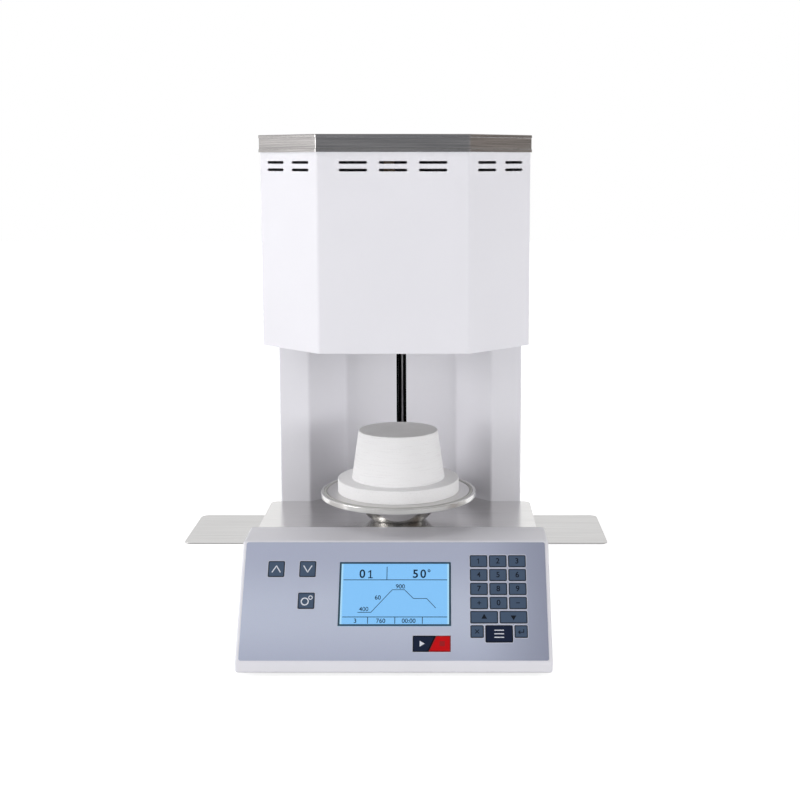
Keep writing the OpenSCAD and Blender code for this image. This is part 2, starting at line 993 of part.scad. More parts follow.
module table_plate() {
    edge = 1;
    color([0.8, 0.8, 0.8])
        at_lift()
            rotate_extrude($fn = 180)
                polygon([
                    [0, plate_under],
                    [plate_r - edge, plate_under],
                    [plate_r, plate_under + edge],
                    [plate_r, plate_z - 0.5],
                    [plate_r - 0.5, plate_z],
                    [seal_r + groove_w / 2, plate_z],
                    [seal_r + groove_w / 2, plate_z - groove_d],
                    [seal_r - groove_w / 2, plate_z - groove_d],
                    [seal_r - groove_w / 2, plate_z],
                    [0, plate_z]
                ]);
}

module seal_ring() {
    color([0.2, 0.2, 0.2])
        at_lift()
            translate([0, 0, plate_z - groove_d + seal_cord_r])
                rotate_extrude($fn = 180)
                    translate([seal_r, 0])
                        circle(seal_cord_r, $fn = 32);
}

module insulation_disc() {
    r = 1.5;
    color([0.97, 0.97, 0.96])
        at_lift()
            translate([0, 0, plate_z]) {
                rotate_extrude()
                    polygon(concat(
                        [[0, 0], [disc_r, 0]],
                        arc(disc_r - r, disc_h - r, r, 0, 90),
                        [[0, disc_h]]
                    ));
                cylinder(h = disc_h + spigot_h, r = spigot_r);
            }
}

module firing_block() {
    r = 2;
    color([0.98, 0.98, 0.97])
        at_lift()
            translate([0, 0, plate_z + disc_h])
                difference() {
                    rotate_extrude()
                        polygon(concat(
                            [[0, 0], [block_r, 0]],
                            arc(block_top_r - r, block_h - r, r, 0, 90),
                            [[0, block_h]]
                        ));
                    translate([0, 0, -1])
                        cylinder(h = spigot_h + 1 + seat, r = spigot_r + seat);
                }
}

// Head
function head_line(d, back) = [
    [half_w + d, back],
    [half_w + d, facet - head_front - bend * d],
    [half_w - facet + bend * d, -head_front - d]
];

module head_plan(d, back) {
    polygon(mirrored(head_line(d, back)));
}

module vent_slot(length) {
    rotate([90, 0, 0])
        translate([0, 0, -3 * sheet])
            linear_extrude(6 * sheet)
                rounded(length, vent_h, vent_h / 2 - 0.01);
}

module vent_rows(count, length) {
    for (i = [0:count - 1], row = [0, 1])
        translate([(i - (count - 1) / 2) * vent_pitch, 0, cap_z - 10.3 - row * vent_rise])
            vent_slot(length);
}

module head_shell() {
    high = top_z - cap_t - seat;
    color(white)
        at_lift()
            difference() {
                union() {
                    translate([0, 0, head_z])
                        linear_extrude(high - head_z)
                            difference() {
                                head_plan(0, case_back);
                                head_plan(-sheet, case_back + 1);
                            }
                    rear_flanges(head_z, high - head_z);
                }
                translate([0, -head_front, 0]) vent_rows(3, vent_l);
                both_sides()
                    translate([half_w - facet / 2, facet / 2 - head_front, 0])
                        rotate([0, 0, 45])
                            vent_rows(2, vent_l - 1.5);
                screw_places()
                    translate([0, 0, -3])
                        cylinder(h = 4, r = 1.75, $fn = 32);
            }
}

module head_cap() {
    color([0.6, 0.59, 0.58])
        at_lift()
            difference() {
                translate([0, 0, cap_z])
                    linear_extrude(cap_h)
                        head_plan(cap_lip, case_back + cover_t + cap_t + seat);
                translate([0, 0, cap_z - 1])
                    linear_extrude(cap_h - cap_t + 1)
                        head_plan(cap_lip - cap_t, case_back + cover_t + seat);
            }
}

module head_floor() {
    inner = sheet + seat;
    color([0.85, 0.85, 0.86])
        at_lift()
            translate([0, 0, head_z])
                difference() {
                    linear_extrude(sheet)
                        polygon(mirrored(concat(
                            [for (i = [2, 1]) head_line(-inner, 0)[i]],
                            [[half_w - inner, column_front + sheet]],
                            [for (i = [2, 3]) cabinet_line(sheet)[i]]
                        )));
                    translate([0, 0, -1])
                        cylinder(h = sheet + 2, r = casing_r + seat);
                }
}

module muffle_casing() {
    lip = 6;
    color([0.7, 0.7, 0.7])
        at_lift()
            difference() {
                rotate_extrude($fn = 180)
                    polygon([
                        [mouth_r, head_z],
                        [casing_r, head_z],
                        [casing_r, head_z + sheet],
                        [casing_r + lip, head_z + sheet],
                        [casing_r + lip, head_z + sheet + 2],
                        [casing_r, head_z + sheet + 2],
                        [casing_r, casing_top],
                        [0, casing_top],
                        [0, casing_top - casing_t],
                        [casing_r - casing_t, casing_top - casing_t],
                        [casing_r - casing_t, head_z + flange_t],
                        [mouth_r, head_z + flange_t]
                    ]);
                translate([probe_x, probe_y, casing_top - casing_t - 1])
                    cylinder(h = casing_t + 2, r = probe_r + seat);
                translate([nipple_x, casing_r / 2, nipple_z])
                    rotate([-90, 0, 0])
                        cylinder(h = casing_r / 2 + 1, r = nipple_r - 1 + seat);
            }
}

module muffle_insulation() {
    outer = casing_r - casing_t - seat;
    low = head_z + flange_t;
    high = casing_top - casing_t;
    groove = coil_h / 2 + 2 * wire_r + 1;
    color([0.95, 0.94, 0.9])
        at_lift()
            difference() {
                rotate_extrude()
                    polygon([
                        [mouth_r, low],
                        [outer, low],
                        [outer, high],
                        [0, high],
                        [0, chamber_top],
                        [chamber_r, chamber_top],
                        [chamber_r, coil_mid + groove],
                        [coil_groove_r, coil_mid + groove],
                        [coil_groove_r, coil_mid - groove],
                        [chamber_r, coil_mid - groove],
                        [chamber_r, mouth_top],
                        [mouth_r, mouth_top]
                    ]);
                translate([probe_x, probe_y, chamber_top - 1])
                    cylinder(h = high - chamber_top + 2, r = probe_r + seat);
            }
}

// One unbroken wire: each ring has six corners, and its plane holds the coil's axis
module heating_coil() {
    count = coil_turns * coil_steps;
    pitch = coil_h / coil_turns;
    sides = 6;
    path = [for (i = [0:count]) [coil_r * cos(360 * i / coil_steps), coil_r * sin(360 * i / coil_steps),
        pitch * i / coil_steps]];
    apart = [
        for (i = [0:coil_steps], j = [i + coil_steps / 2:i + 2 * coil_steps])
            norm(path[j] - path[i])
    ];
    echo(str("heating coil: least gap between turns ", min(apart) - 2 * wire_r, " mm"));
    points = [
        for (i = [0:count], j = [0:sides - 1])
            let (
                a = 360 * i / coil_steps,
                b = 360 * j / sides,
                r = coil_r + wire_r * cos(b)
            )
            [r * cos(a), r * sin(a), pitch * i / coil_steps + wire_r * sin(b)]
    ];
    walls = [
        for (i = [0:count - 1], j = [0:sides - 1], half = [0, 1])
            let (
                here = i * sides + j,
                next = i * sides + (j + 1) % sides
            )
            half == 0 ? [here, here + sides, next + sides] : [here, next + sides, next]
    ];
    first = [for (j = [1:sides - 2]) [0, j, j + 1]];
    last = [for (j = [1:sides - 2]) [count * sides, count * sides + j + 1, count * sides + j]];
    color([0.5, 0.45, 0.42])
        at_lift()
            translate([0, 0, coil_mid - coil_h / 2])
                polyhedron(points, concat(walls, first, last));
}

module thermocouple() {
    tip = 12;
    head = [11, 16, 32];
    color([0.85, 0.76, 0.66])
        at_lift()
            translate([probe_x, probe_y, 0]) {
                translate([0, 0, chamber_top - tip])
                    cylinder(h = casing_top + 1 - chamber_top + tip, r = probe_r, $fn = 32);
                translate([-head[0] / 2, -head[1] / 2, casing_top])
                    cube(head);
            }
}

base_pan();
feet();
base_housing();
console_housing();
membrane_panel();
lcd_window();
lcd_module();
control_board();
deck_plate();
left_tray();
right_tray();
column_housing();
lift_mast();
guide_rods();
lift_spindle();
spindle_bearings();
lift_motor();
lift_carriage();
spindle_nut();
lift_arm();
lift_bowl();
table_plate();
seal_ring();
insulation_disc();
firing_block();
head_shell();
head_cap();
head_floor();
muffle_casing();
muffle_insulation();
heating_coil();
thermocouple();
rear_cover();
inlet_module();
power_rocker();
vacuum_line();
transformer();
cover_screws();
key_start();
key_stop();
for (k = keys)
    panel_key(k);
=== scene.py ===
import math

import bmesh
import bpy
from mathutils import Matrix, Vector


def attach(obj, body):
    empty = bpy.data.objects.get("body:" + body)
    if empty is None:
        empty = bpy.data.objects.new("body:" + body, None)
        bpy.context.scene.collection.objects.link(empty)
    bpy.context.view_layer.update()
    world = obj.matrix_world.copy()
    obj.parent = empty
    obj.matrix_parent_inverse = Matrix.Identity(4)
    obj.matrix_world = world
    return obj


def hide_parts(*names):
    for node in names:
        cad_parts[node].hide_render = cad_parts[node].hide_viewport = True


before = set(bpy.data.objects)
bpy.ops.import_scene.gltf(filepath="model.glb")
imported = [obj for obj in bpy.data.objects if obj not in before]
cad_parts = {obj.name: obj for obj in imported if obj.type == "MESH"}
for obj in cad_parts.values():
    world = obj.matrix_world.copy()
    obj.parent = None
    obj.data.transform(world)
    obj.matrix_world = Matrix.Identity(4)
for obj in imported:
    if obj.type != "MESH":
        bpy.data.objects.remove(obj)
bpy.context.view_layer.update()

# Dental lab furnace. Sizes are in millimetres, in the frame of the solids.
# Depths marked "back" are measured behind the lift's upright axis.
common = {
    "liftY": -24.35,
    "deckTop": 119.3,
    "headBottom": 321.8,
    "capBottom": 523.2,
    "capTop": 540.8,
    "caseBack": 190,
    "halfWidth": 140.2,
    "sheet": 1.5,
}


def mm(*values):
    scaled = tuple(value / 1000 for value in values)
    return scaled if len(scaled) > 1 else scaled[0]


def back(distance):
    return common["liftY"] + distance


# selecting, shaping and finishing, as by hand

def startClean():
    if bpy.context.object and bpy.context.object.mode != "OBJECT":
        bpy.ops.object.mode_set(mode="OBJECT")
    bpy.ops.object.select_all(action="DESELECT")


def activate(piece):
    startClean()
    piece.select_set(True)
    bpy.context.view_layer.objects.active = piece


def settle(name):
    # names the new piece and puts its place into its mesh
    piece = bpy.context.object
    piece.name = name
    piece.data.name = name
    bpy.ops.object.transform_apply(location=True, rotation=True, scale=True)
    return piece


def block(name, low, high):
    startClean()
    middle = [(a + b) / 2 for a, b in zip(low, high)]
    size = [b - a for a, b in zip(low, high)]
    bpy.ops.mesh.primitive_cube_add(size=1, location=mm(*middle), scale=mm(*size))
    return settle(name)


def drum(name, radius, low, high, sides, topRadius=None):
    # a turned piece on the lift's axis
    startClean()
    bpy.ops.mesh.primitive_cone_add(
        vertices=sides, radius1=mm(radius), radius2=mm(topRadius or radius), depth=mm(high - low),
        location=mm(0, back(0), (low + high) / 2))
    return settle(name)


def where(part):
    # the middle of a vertex, edge or face, in millimetres, with y counted from the lift axis
    if isinstance(part, bmesh.types.BMVert):
        spot = part.co.copy()
    elif isinstance(part, bmesh.types.BMEdge):
        spot = (part.verts[0].co + part.verts[1].co) / 2
    else:
        spot = part.calc_center_median()
    spot = spot * 1000
    spot.y -= common["liftY"]
    return spot


def near(a, b, within=0.05):
    return abs(a - b) < within


def atHeight(z):
    return lambda part: near(where(part).z, z)


def runs(edge, axis):
    # true for an edge that lies along that axis
    way = (edge.verts[1].co - edge.verts[0].co).normalized()
    return abs(way[axis]) > 0.999


def upFace(face):
    return face.normal.z > 0.99


def pick(piece, kind, test):
    activate(piece)
    bpy.ops.object.mode_set(mode="EDIT")
    bpy.ops.mesh.select_mode(type=kind)
    bpy.ops.mesh.select_all(action="DESELECT")
    mesh = bmesh.from_edit_mesh(piece.data)
    for part in {"VERT": mesh.verts, "EDGE": mesh.edges, "FACE": mesh.faces}[kind]:
        if test(part):
            part.select_set(True)
    mesh.select_flush_mode()
    bmesh.update_edit_mesh(piece.data)


def objectMode():
    bpy.ops.object.mode_set(mode="OBJECT")


def roundEdges(piece, width, steps, test):
    pick(piece, "EDGE", test)
    bpy.ops.mesh.bevel(offset=mm(width), offset_type="OFFSET", segments=steps, affect="EDGES")
    objectMode()


def removeFaces(piece, test):
    pick(piece, "FACE", test)
    bpy.ops.mesh.delete(type="FACE")
    objectMode()


def moveCorners(piece, move, test):
    pick(piece, "VERT", test)
    bpy.ops.transform.translate(value=mm(*move))
    objectMode()


def divide(piece, point, normal, clear=False):
    # a new loop of edges where that plane meets the piece; clear takes off what lies past it
    pick(piece, "VERT", lambda v: True)
    bpy.ops.mesh.bisect(plane_co=mm(*point), plane_no=normal, use_fill=clear, clear_outer=clear)
    objectMode()


def modify(piece, kind, **settings):
    activate(piece)
    modifier = piece.modifiers.new(kind.lower(), kind)
    for key, value in settings.items():
        setattr(modifier, key, value)
    bpy.ops.object.modifier_apply(modifier=modifier.name)


def giveWall(piece, thickness):
    modify(piece, "SOLIDIFY", thickness=mm(thickness), offset=-1, use_even_offset=True)


def join(name, pieces):
    startClean()
    for piece in pieces:
        piece.select_set(True)
    bpy.context.view_layer.objects.active = pieces[0]
    if len(pieces) > 1:
        bpy.ops.object.join()
    bpy.context.object.name = name
    return bpy.context.object


def cut(piece, cutters):
    tool = join("cutter", cutters)
    modify(piece, "BOOLEAN", operation="DIFFERENCE", solver="EXACT", object=tool)
    bpy.data.objects.remove(tool)


def softenEdges(piece, width, steps=2, angle=40):
    modify(piece, "BEVEL", width=mm(width), segments=steps, limit_method="ANGLE",
           angle_limit=math.radians(angle), use_clamp_overlap=True)


def smooth(piece, angle=35):
    activate(piece)
    bpy.ops.object.shade_smooth_by_angle(angle=math.radians(angle))
    modify(piece, "WEIGHTED_NORMAL", keep_sharp=True, weight=60)


def dress(piece, body, slot, material, *nodes):
    piece.data.materials.clear()
    for one in (material if isinstance(material, list) else [material]):
        piece.data.materials.append(one)
    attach(piece, body)
    if nodes:
        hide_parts(*nodes)


def refine(node, name, width):
    # a merged copy of a CAD node, with the fine rounding of its real edges
    piece = bpy.data.objects.new(name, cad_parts[node].data.copy())
    bpy.context.scene.collection.objects.link(piece)
    pick(piece, "VERT", lambda v: True)
    bpy.ops.mesh.remove_doubles(threshold=mm(0.002))
    bpy.ops.mesh.dissolve_limited(angle_limit=math.radians(0.4))
    objectMode()
    if width:
        softenEdges(piece, width)
    smooth(piece)
    return piece


# the camera, fitted to the photograph
camera = {
    "place": (49.4, back(-1434.4), 514.3),
    "down": 0.1255,      # radians
    "lens": 59.54,
    "shiftX": -0.0537,
    "shiftY": -0.0901,
}
startClean()
bpy.ops.object.camera_add(
    location=mm(*camera["place"]), rotation=(math.pi / 2 - camera["down"], 0, 0))
eye = bpy.context.object
eye.name = "photoCamera"
eye.data.sensor_width = 36
eye.data.lens = camera["lens"]
eye.data.shift_x, eye.data.shift_y = camera["shiftX"], camera["shiftY"]
eye.data.clip_start = 0.05
eye.data.clip_end = 40
bpy.context.scene.camera = eye
print("camera set")


# materials

def linear(code):
    # an sRGB hex value as linear colour
    channels = [int(code[i:i + 2], 16) / 255 for i in (1, 3, 5)]
    return tuple(c / 12.92 if c <= 0.04045 else ((c + 0.055) / 1.055) ** 2.4
                 for c in channels) + (1,)


def addNode(tree, kind, settings=None, links=None):
    # a link may name a socket, or a node for its first output
    node = tree.nodes.new("ShaderNode" + kind)
    for key, value in (settings or {}).items():
        if isinstance(key, int) or key in node.inputs:
            node.inputs[key].default_value = value
        else:
            setattr(node, key, value)
    for key, source in (links or {}).items():
        if isinstance(source, bpy.types.Node):
            source = source.outputs[0]
        tree.links.new(source, node.inputs[key])
    return node


def newMaterial(name):
    material = bpy.data.materials.new(name)
    material.use_nodes = True
    tree = material.node_tree
    tree.nodes.clear()
    return material, tree, addNode(tree, "TexCoord").outputs["Object"]


def finishSurface(material, tones, settings, links, height=None, strength=0, depth=0):
    # the last steps of a material: its two tones and the share of the second one, the bumps that
    # break its gloss, with their depth in millimetres, and the surface itself
    tree, links = material.node_tree, dict(links)
    if tones:
        colour, dark, share = tones
        links["Base Color"] = addNode(tree, "Mix", {
            "data_type": "RGBA", 6: linear(colour), 7: linear(dark)}, {0: share}).outputs[2]
    if height:
        links["Normal"] = addNode(tree, "Bump", {"Strength": strength, "Distance": mm(depth)},
                                  {"Height": height})
    body = addNode(tree, "BsdfPrincipled", settings, links)
    addNode(tree, "OutputMaterial", {}, {"Surface": body})
    return material


def powderCoat(name, colour, dark, rough):
    # polyester powder, baked on steel: satin, with a faint orange peel of 1.6 mm waves
    material, tree, coords = newMaterial(name)
    peel = addNode(tree, "TexNoise", {"Scale": 1 / mm(1.6), "Detail": 2}, {"Vector": coords})
    tint = addNode(tree, "TexNoise", {"Scale": 1 / mm(90), "Detail": 1}, {"Vector": coords})
    patches = addNode(tree, "MapRange", {"From Min": 0.35, "From Max": 0.75, "To Max": 0.35},
                      {"Value": tint})
    return finishSurface(material, (colour, dark, patches), {"Roughness": rough, "IOR": 1.5}, {},
                         peel, 0.25, 0.02)


def brushedSteel(name, colour, dark, rough, grain):
    # sheet brushed on a belt: fine scratches along x, which smear what it mirrors. They lie beside
    # each other in y on flat faces and in z on upright ones; grain is their number in a metre,
    # along and across
    material, tree, coords = newMaterial(name)
    facing = addNode(tree, "SeparateXYZ", {}, {0: addNode(tree, "TexCoord").outputs["Normal"]})
    upright = addNode(tree, "Math", {"operation": "ABSOLUTE"}, {0: facing.outputs["Z"]})
    level = addNode(tree, "Math", {"operation": "GREATER_THAN", 1: 0.7}, {0: upright})
    along, across = grain
    scale = addNode(tree, "Mix", {
        "data_type": "VECTOR", 4: (along, along, across), 5: (along, across, along)}, {0: level})
    stretch = addNode(tree, "VectorMath", {"operation": "MULTIPLY"},
                      {0: coords, 1: scale.outputs[1]})
    scratches = addNode(tree, "TexNoise", {"Scale": 1, "Detail": 5, "Roughness": 0.7},
                        {"Vector": stretch})
    clouds = addNode(tree, "TexNoise", {"Scale": 1 / mm(120), "Detail": 1}, {"Vector": coords})
    contrast = addNode(tree, "MapRange", {"From Min": 0.36, "From Max": 0.64},
                       {"Value": scratches})
    gloss = addNode(tree, "MapRange", {
        "From Min": 0.3, "From Max": 0.7, "To Min": rough * 0.93, "To Max": rough * 1.07},
        {"Value": clouds})
    return finishSurface(material, (colour, dark, contrast), {"Metallic": 1}, {"Roughness": gloss},
                         scratches, 0.25, 0.01)


def turnedSteel(name, colour, dark, rough, pitch, strength=0.3, sideRough=None):
    # metal turned on a lathe: rings round the lift axis, as far apart as the pitch of the cut. A
    # side that was cut finer than the face mirrors more
    material, tree, coords = newMaterial(name)
    moved = addNode(tree, "VectorMath", {"operation": "SUBTRACT", 1: (0, mm(back(0)), 0)},
                    {0: coords})
    flat = addNode(tree, "VectorMath", {"operation": "MULTIPLY", 1: (1, 1, 0)}, {0: moved})
    reach = addNode(tree, "VectorMath", {"operation": "LENGTH"}, {0: flat})
    height = addNode(tree, "SeparateXYZ", {}, {0: coords})
    way = addNode(tree, "Math", {"operation": "ADD"},
                  {0: reach.outputs["Value"], 1: height.outputs["Z"]})
    turns = addNode(tree, "Math", {"operation": "MULTIPLY", 1: 1 / mm(pitch)}, {0: way})
    rings = addNode(tree, "TexNoise", {"noise_dimensions": "1D", "Scale": 1, "Detail": 3},
                    {"W": turns})
    grit = addNode(tree, "TexNoise", {"Scale": 1 / mm(0.9), "Detail": 3}, {"Vector": coords})
    mixed = addNode(tree, "Mix", {0: 0.35}, {2: rings, 3: grit})
    facing = addNode(tree, "SeparateXYZ", {}, {0: addNode(tree, "TexCoord").outputs["Normal"]})
    gloss = addNode(tree, "MapRange", {
        "From Min": 0.3, "From Max": 0.9, "To Min": sideRough or rough, "To Max": rough},
        {"Value": facing.outputs["Z"]})
    return finishSurface(material, (colour, dark, mixed), {"Metallic": 1}, {"Roughness": gloss},
                         mixed, strength, 0.02)


def ceramicFibre(name, colour, dark, grain, rough=0.9, strength=0.5, lines=0.0, deep=0.15):
    # pressed ceramic fibre: matt and white, with a felted grain and the odd pressed line, which
    # runs about 25 mm round it
    material, tree, coords = newMaterial(name)
    felt = addNode(tree, "TexNoise", {"Scale": 1 / mm(grain), "Detail": 6, "Roughness": 0.65},
                   {"Vector": coords})
    pressed = addNode(tree, "Mapping", {"Scale": (1 / mm(25), 1 / mm(25), 1 / mm(1.1))},
                      {"Vector": coords})
    streak = addNode(tree, "TexNoise", {"Scale": 1, "Detail": 3}, {"Vector": pressed})
    height = addNode(tree, "Mix", {0: lines}, {2: felt, 3: streak})
    hollows = addNode(tree, "MapRange", {"From Min": 0.52, "From Max": 0.8}, {"Value": height})
    return finishSurface(material, (colour, dark, hollows), {"Roughness": rough, "IOR": 1.45}, {},
                         height, strength, deep)


def plastic(name, colour, dark, rough, grain, strength=0.2, ior=1.5):
    # moulded, painted or printed plastic: a fine even texture breaks its gloss
    material, tree, coords = newMaterial(name)
    texture = addNode(tree, "TexNoise", {"Scale": 1 / mm(grain), "Detail": 3}, {"Vector": coords})
    return finishSurface(material, (colour, dark, texture), {"Roughness": rough, "IOR": ior}, {},
                         texture, strength, 0.02)


def membraneFilm():
    # polyester film with a fine satin grain, printed lavender grey, with a painted highlight in a
    # band across the middle and painted shade deeper to the right
    # the pale tone is a painted highlight across the middle, the deep one its edges, and the
    # right-hand one painted shade
    film = {"pale": "#C9D0E4", "deep": "#B8BED4", "right": "#9A9FB4", "highlightHeight": 56, "grain": 0.7,
            "highlightFalloff": (4, 52), "fade": (70, 165)}
    material, tree, coords = newMaterial("printedMembraneFilm")
    axes = addNode(tree, "SeparateXYZ", {}, {0: coords})
    above = addNode(tree, "Math", {"operation": "SUBTRACT", 1: mm(film["highlightHeight"])},
                    {0: axes.outputs["Z"]})
    away = addNode(tree, "Math", {"operation": "ABSOLUTE"}, {0: above})
    # painted highlight: paler in a band across the middle of the slope, deeper above and below it
    start, end = mm(*film["highlightFalloff"])
    highlightFalloff = addNode(tree, "MapRange", {
        "interpolation_type": "SMOOTHSTEP", "From Min": start, "From Max": end}, {"Value": away})
    paintedHighlight = addNode(tree, "Mix", {
        "data_type": "RGBA", 6: linear(film["pale"]), 7: linear(film["deep"])}, {0: highlightFalloff})
    # painted shade: deeper grey towards the right end, where less light falls
    start, end = mm(*film["fade"])
    fade = addNode(tree, "MapRange", {
        "interpolation_type": "SMOOTHSTEP", "From Min": start, "From Max": end},
        {"Value": axes.outputs["X"]})
    ink = addNode(tree, "Mix", {"data_type": "RGBA", 7: linear(film["right"])},
                  {0: fade, 6: paintedHighlight.outputs[2]})
    speck = addNode(tree, "TexNoise", {"Scale": 1 / mm(film["grain"]), "Detail": 2},
                    {"Vector": coords})
    shade = addNode(tree, "Mix", {"data_type": "RGBA", "blend_type": "MULTIPLY", 0: 0.12},
                    {6: ink.outputs[2], 7: speck.outputs["Color"]})
    return finishSurface(material, None, {"Roughness": 0.4, "IOR": 1.5},
                         {"Base Color": shade.outputs[2]}, speck, 0.2, 0.01)


# cool white sheet metal with a soft sheen
whiteCoat = powderCoat("whitePowderCoat", "#F3F2F8", "#EDECF2", 0.42)
# stainless sheet: grey and streaked on the cap; deck and trays are paler copies with painted light;
# plainer inside
capSteel = brushedSteel("capBrushedStainless", "#B9B7B6", "#8F8E8E", 0.26, (12, 1500))
deckSteelPaintedLight = brushedSteel("deckBrushedStainless", "#ECEBEA", "#D5D4D3", 0.22, (8, 1300))
traySteelPaintedLight = brushedSteel("trayBrushedStainless", "#DAD9D8", "#BFBEBD", 0.3, (8, 1300))
innerSteel = brushedSteel("plainStainlessSheet", "#B9BABC", "#9D9EA0", 0.38, (60, 200))
milledAluminium = brushedSteel("milledAluminium", "#CFD0D2", "#B8B9BB", 0.36, (30, 900))
# lathe work: a shiny bowl, a pale plate with a brighter rim, smooth shafts, plated screw heads
bowlSteel = turnedSteel("spunStainlessBowl", "#DEDDDB", "#C9C8C6", 0.2, 1.2, 0.2)
plateSteel = turnedSteel("turnedStainlessPlate", "#ECEBEA", "#CFCECD", 0.42, 0.9, sideRough=0.2)
shaftSteel = turnedSteel("groundSteelShaft", "#C9C9CA", "#B5B5B7", 0.2, 0.8, 0.1)
screwSteel = turnedSteel("platedScrewSteel", "#BDBEC0", "#9FA0A2", 0.3, 0.5, 0.1)
bronze = turnedSteel("machinedBronze", "#C79A5B", "#A97E44", 0.3, 0.8)    # warm yellow brown
heatWire = turnedSteel("oxidisedHeatingWire", "#6B605B", "#4B423E", 0.55, 0.5)    # dull brown
# dark and matt: the lift's channel, the feet, the inlet and the motor; the rocker is glossy
# the lift channel is black paint, darkened further to paint in the shade inside the lift's slot
blackPaintAndSlotShade = plastic("mattBlackPaintSlotShade", "#0D0D0F", "#09090A", 0.65, 0.8, ior=1.3)
footRubber = plastic("mattBlackRubber", "#161616", "#0E0E0E", 0.85, 0.7, 0.4)
blackPlastic = plastic("mouldedBlackPlastic", "#1B1B1D", "#131314", 0.48, 0.6)
rockerPlastic = plastic("smoothBlackPlastic", "#141416", "#0F0F10", 0.25, 0.6, 0.05)
motorPaint = plastic("blackMotorPaint", "#1F2023", "#141518", 0.5, 0.9)
sealSilicone = plastic("greySiliconeCord", "#C6C5C2", "#B2B1AE", 0.55, 0.9)    # dull pale ring
boardGreen = plastic("greenCircuitBoard", "#14512E", "#0E3F22", 0.4, 1.5)    # lacquered
windingTape = plastic("yellowWindingTape", "#D39B2D", "#B37F1D", 0.45, 3.0)    # waxy yellow
# chalk-white fibre: lined on the block, felted on the disc, creamier round the coil
blockFibre = ceramicFibre("firingBlockCeramicFibre", "#FDFCFD", "#E6E4E5", 0.9,
                          strength=1.0, lines=0.5, deep=0.45)
discFibre = ceramicFibre("insulationDiscCeramicFibre", "#FDFCFD", "#E6E4E5", 1.1,
                         strength=1.0, lines=0.2, deep=0.4)
muffleFibre = ceramicFibre("muffleCeramicFibre", "#EEEAE2", "#D9D2C6", 1.4)
beigeCeramic = ceramicFibre("beigeTerminalCeramic", "#F3DEC3", "#D9B38C", 2.2,
                            rough=0.6, strength=0.2)
# satin printed film: lavender panel, slate, navy and red keys; their darker rims are painted shade
filmPrint = membraneFilm()
keyFace = plastic("slateKeyFilm", "#465972", "#3D4F67", 0.42, 0.6, 0.1)
keyRimShade = plastic("darkSlateKeyRim", "#283445", "#222D3C", 0.42, 0.6, 0.1)
navyFace = plastic("navyKeyFilm", "#0B1B38", "#09172F", 0.42, 0.6, 0.1, ior=1.35)
navyRimShade = plastic("darkNavyKeyRim", "#060F22", "#050C1C", 0.42, 0.6, 0.1, ior=1.35)
redFace = plastic("redKeyFilm", "#D4000C", "#C00008", 0.45, 0.6, 0.1, ior=1.35)
# this dark red is painted shade on the stop key's rim, and also the print of its stop square
redRimShadeAndStopInk = plastic("darkRedKeyRim", "#A8060E", "#98050C", 0.32, 0.6, 0.1)
# thin dry ink: pale round the keys, dark or pale on them, teal round the display and on it
haloInk = plastic("paleKeyOutlineInk", "#D3D6E4", "#C6C9DA", 0.4, 0.7, 0.1)
keyInk = plastic("darkKeyInk", "#0A121F", "#080F1A", 0.5, 0.6, 0.1, ior=1.3)
whiteInk = plastic("paleKeyInk", "#E6E9F1", "#DADDE8", 0.4, 0.6, 0.1)
frameInk = plastic("darkTealFrameInk", "#2F4B5E", "#284254", 0.35, 0.6, 0.1)
segmentInk = plastic("liquidCrystalInk", "#10324C", "#0C2A42", 0.5, 0.5, 0.05, ior=1.35)
print("materials made")


# the head: a folded shell with vents, under a brushed cap

head = {"front": 117, "facet": 64.3, "top": 539.5, "bend": 2.2, "flange": 15, "edge": 0.22}
vents = {
    "faces": ((0, 3, 28), (45, 2, 26.5), (-45, 2, 26.5)),    # degrees, slots in a row, length
    "height": 2.7, "halfDepth": 6, "rise": 7.5, "pitch": 39.7, "below": 10.3,
}
cap = {"lip": 1.4, "hem": 2.9, "hemStep": 0.5, "sheet": 1.1, "rear": 192.8, "bend": 0.7,
       "corner": 0.8}


def facetedBox(name, grow, rear, low, high, bend):
    # a box whose two front corners are cut at 45 degrees, as the head's sheet is folded
    reach = head["front"] + grow
    wide = common["halfWidth"] + grow
    piece = block(name, (-wide, back(-reach), low), (wide, back(rear), high))
    corner = head["facet"] + grow - grow * math.tan(math.radians(22.5))
    roundEdges(piece, corner, 1, lambda e: runs(e, 2) and near(where(e).y, -reach))
    roundEdges(piece, bend, 4, lambda e: runs(e, 2))
    return piece


def makeHead():
    low, high = common["headBottom"], head["top"]
    shell = facetedBox("headShell", 0, common["caseBack"], low, high, head["bend"])
    removeFaces(shell, lambda f: abs(f.normal.z) > 0.9)
    pick(shell, "FACE", lambda f: f.normal.y > 0.99)
    bpy.ops.mesh.inset(thickness=mm(head["flange"] - head["bend"]), use_boundary=False)
    bpy.ops.mesh.delete(type="FACE")
    objectMode()
    giveWall(shell, common["sheet"])

    cutters = []
    for turn, count, length in vents["faces"]:
        side = (turn > 0) - (turn < 0)
        middle = Vector((side * (common["halfWidth"] - head["facet"] / 2),
                         back(head["facet"] / 2 * abs(side) - head["front"]), 0))
        along = Vector((math.cos(math.radians(turn)), math.sin(math.radians(turn)), 0))
        half = (length / 2, vents["halfDepth"], vents["height"] / 2)
        for i in range(count):
            for row in (0, 1):
                slot = block("slot", [-size for size in half], half)
                roundEdges(slot, vents["height"] * 0.49, 6, lambda e: runs(e, 1))
                spot = middle + along * (i - (count - 1) / 2) * vents["pitch"]
                spot.z = common["capBottom"] - vents["below"] - row * vents["rise"]
                slot.rotation_euler = (0, 0, math.radians(turn))
                slot.location = spot / 1000
                cutters.append(settle("slot"))
    cut(shell, cutters)
    softenEdges(shell, head["edge"])
    smooth(shell)
    dress(shell, "cabinet", "white_coat", whiteCoat, "head_shell")


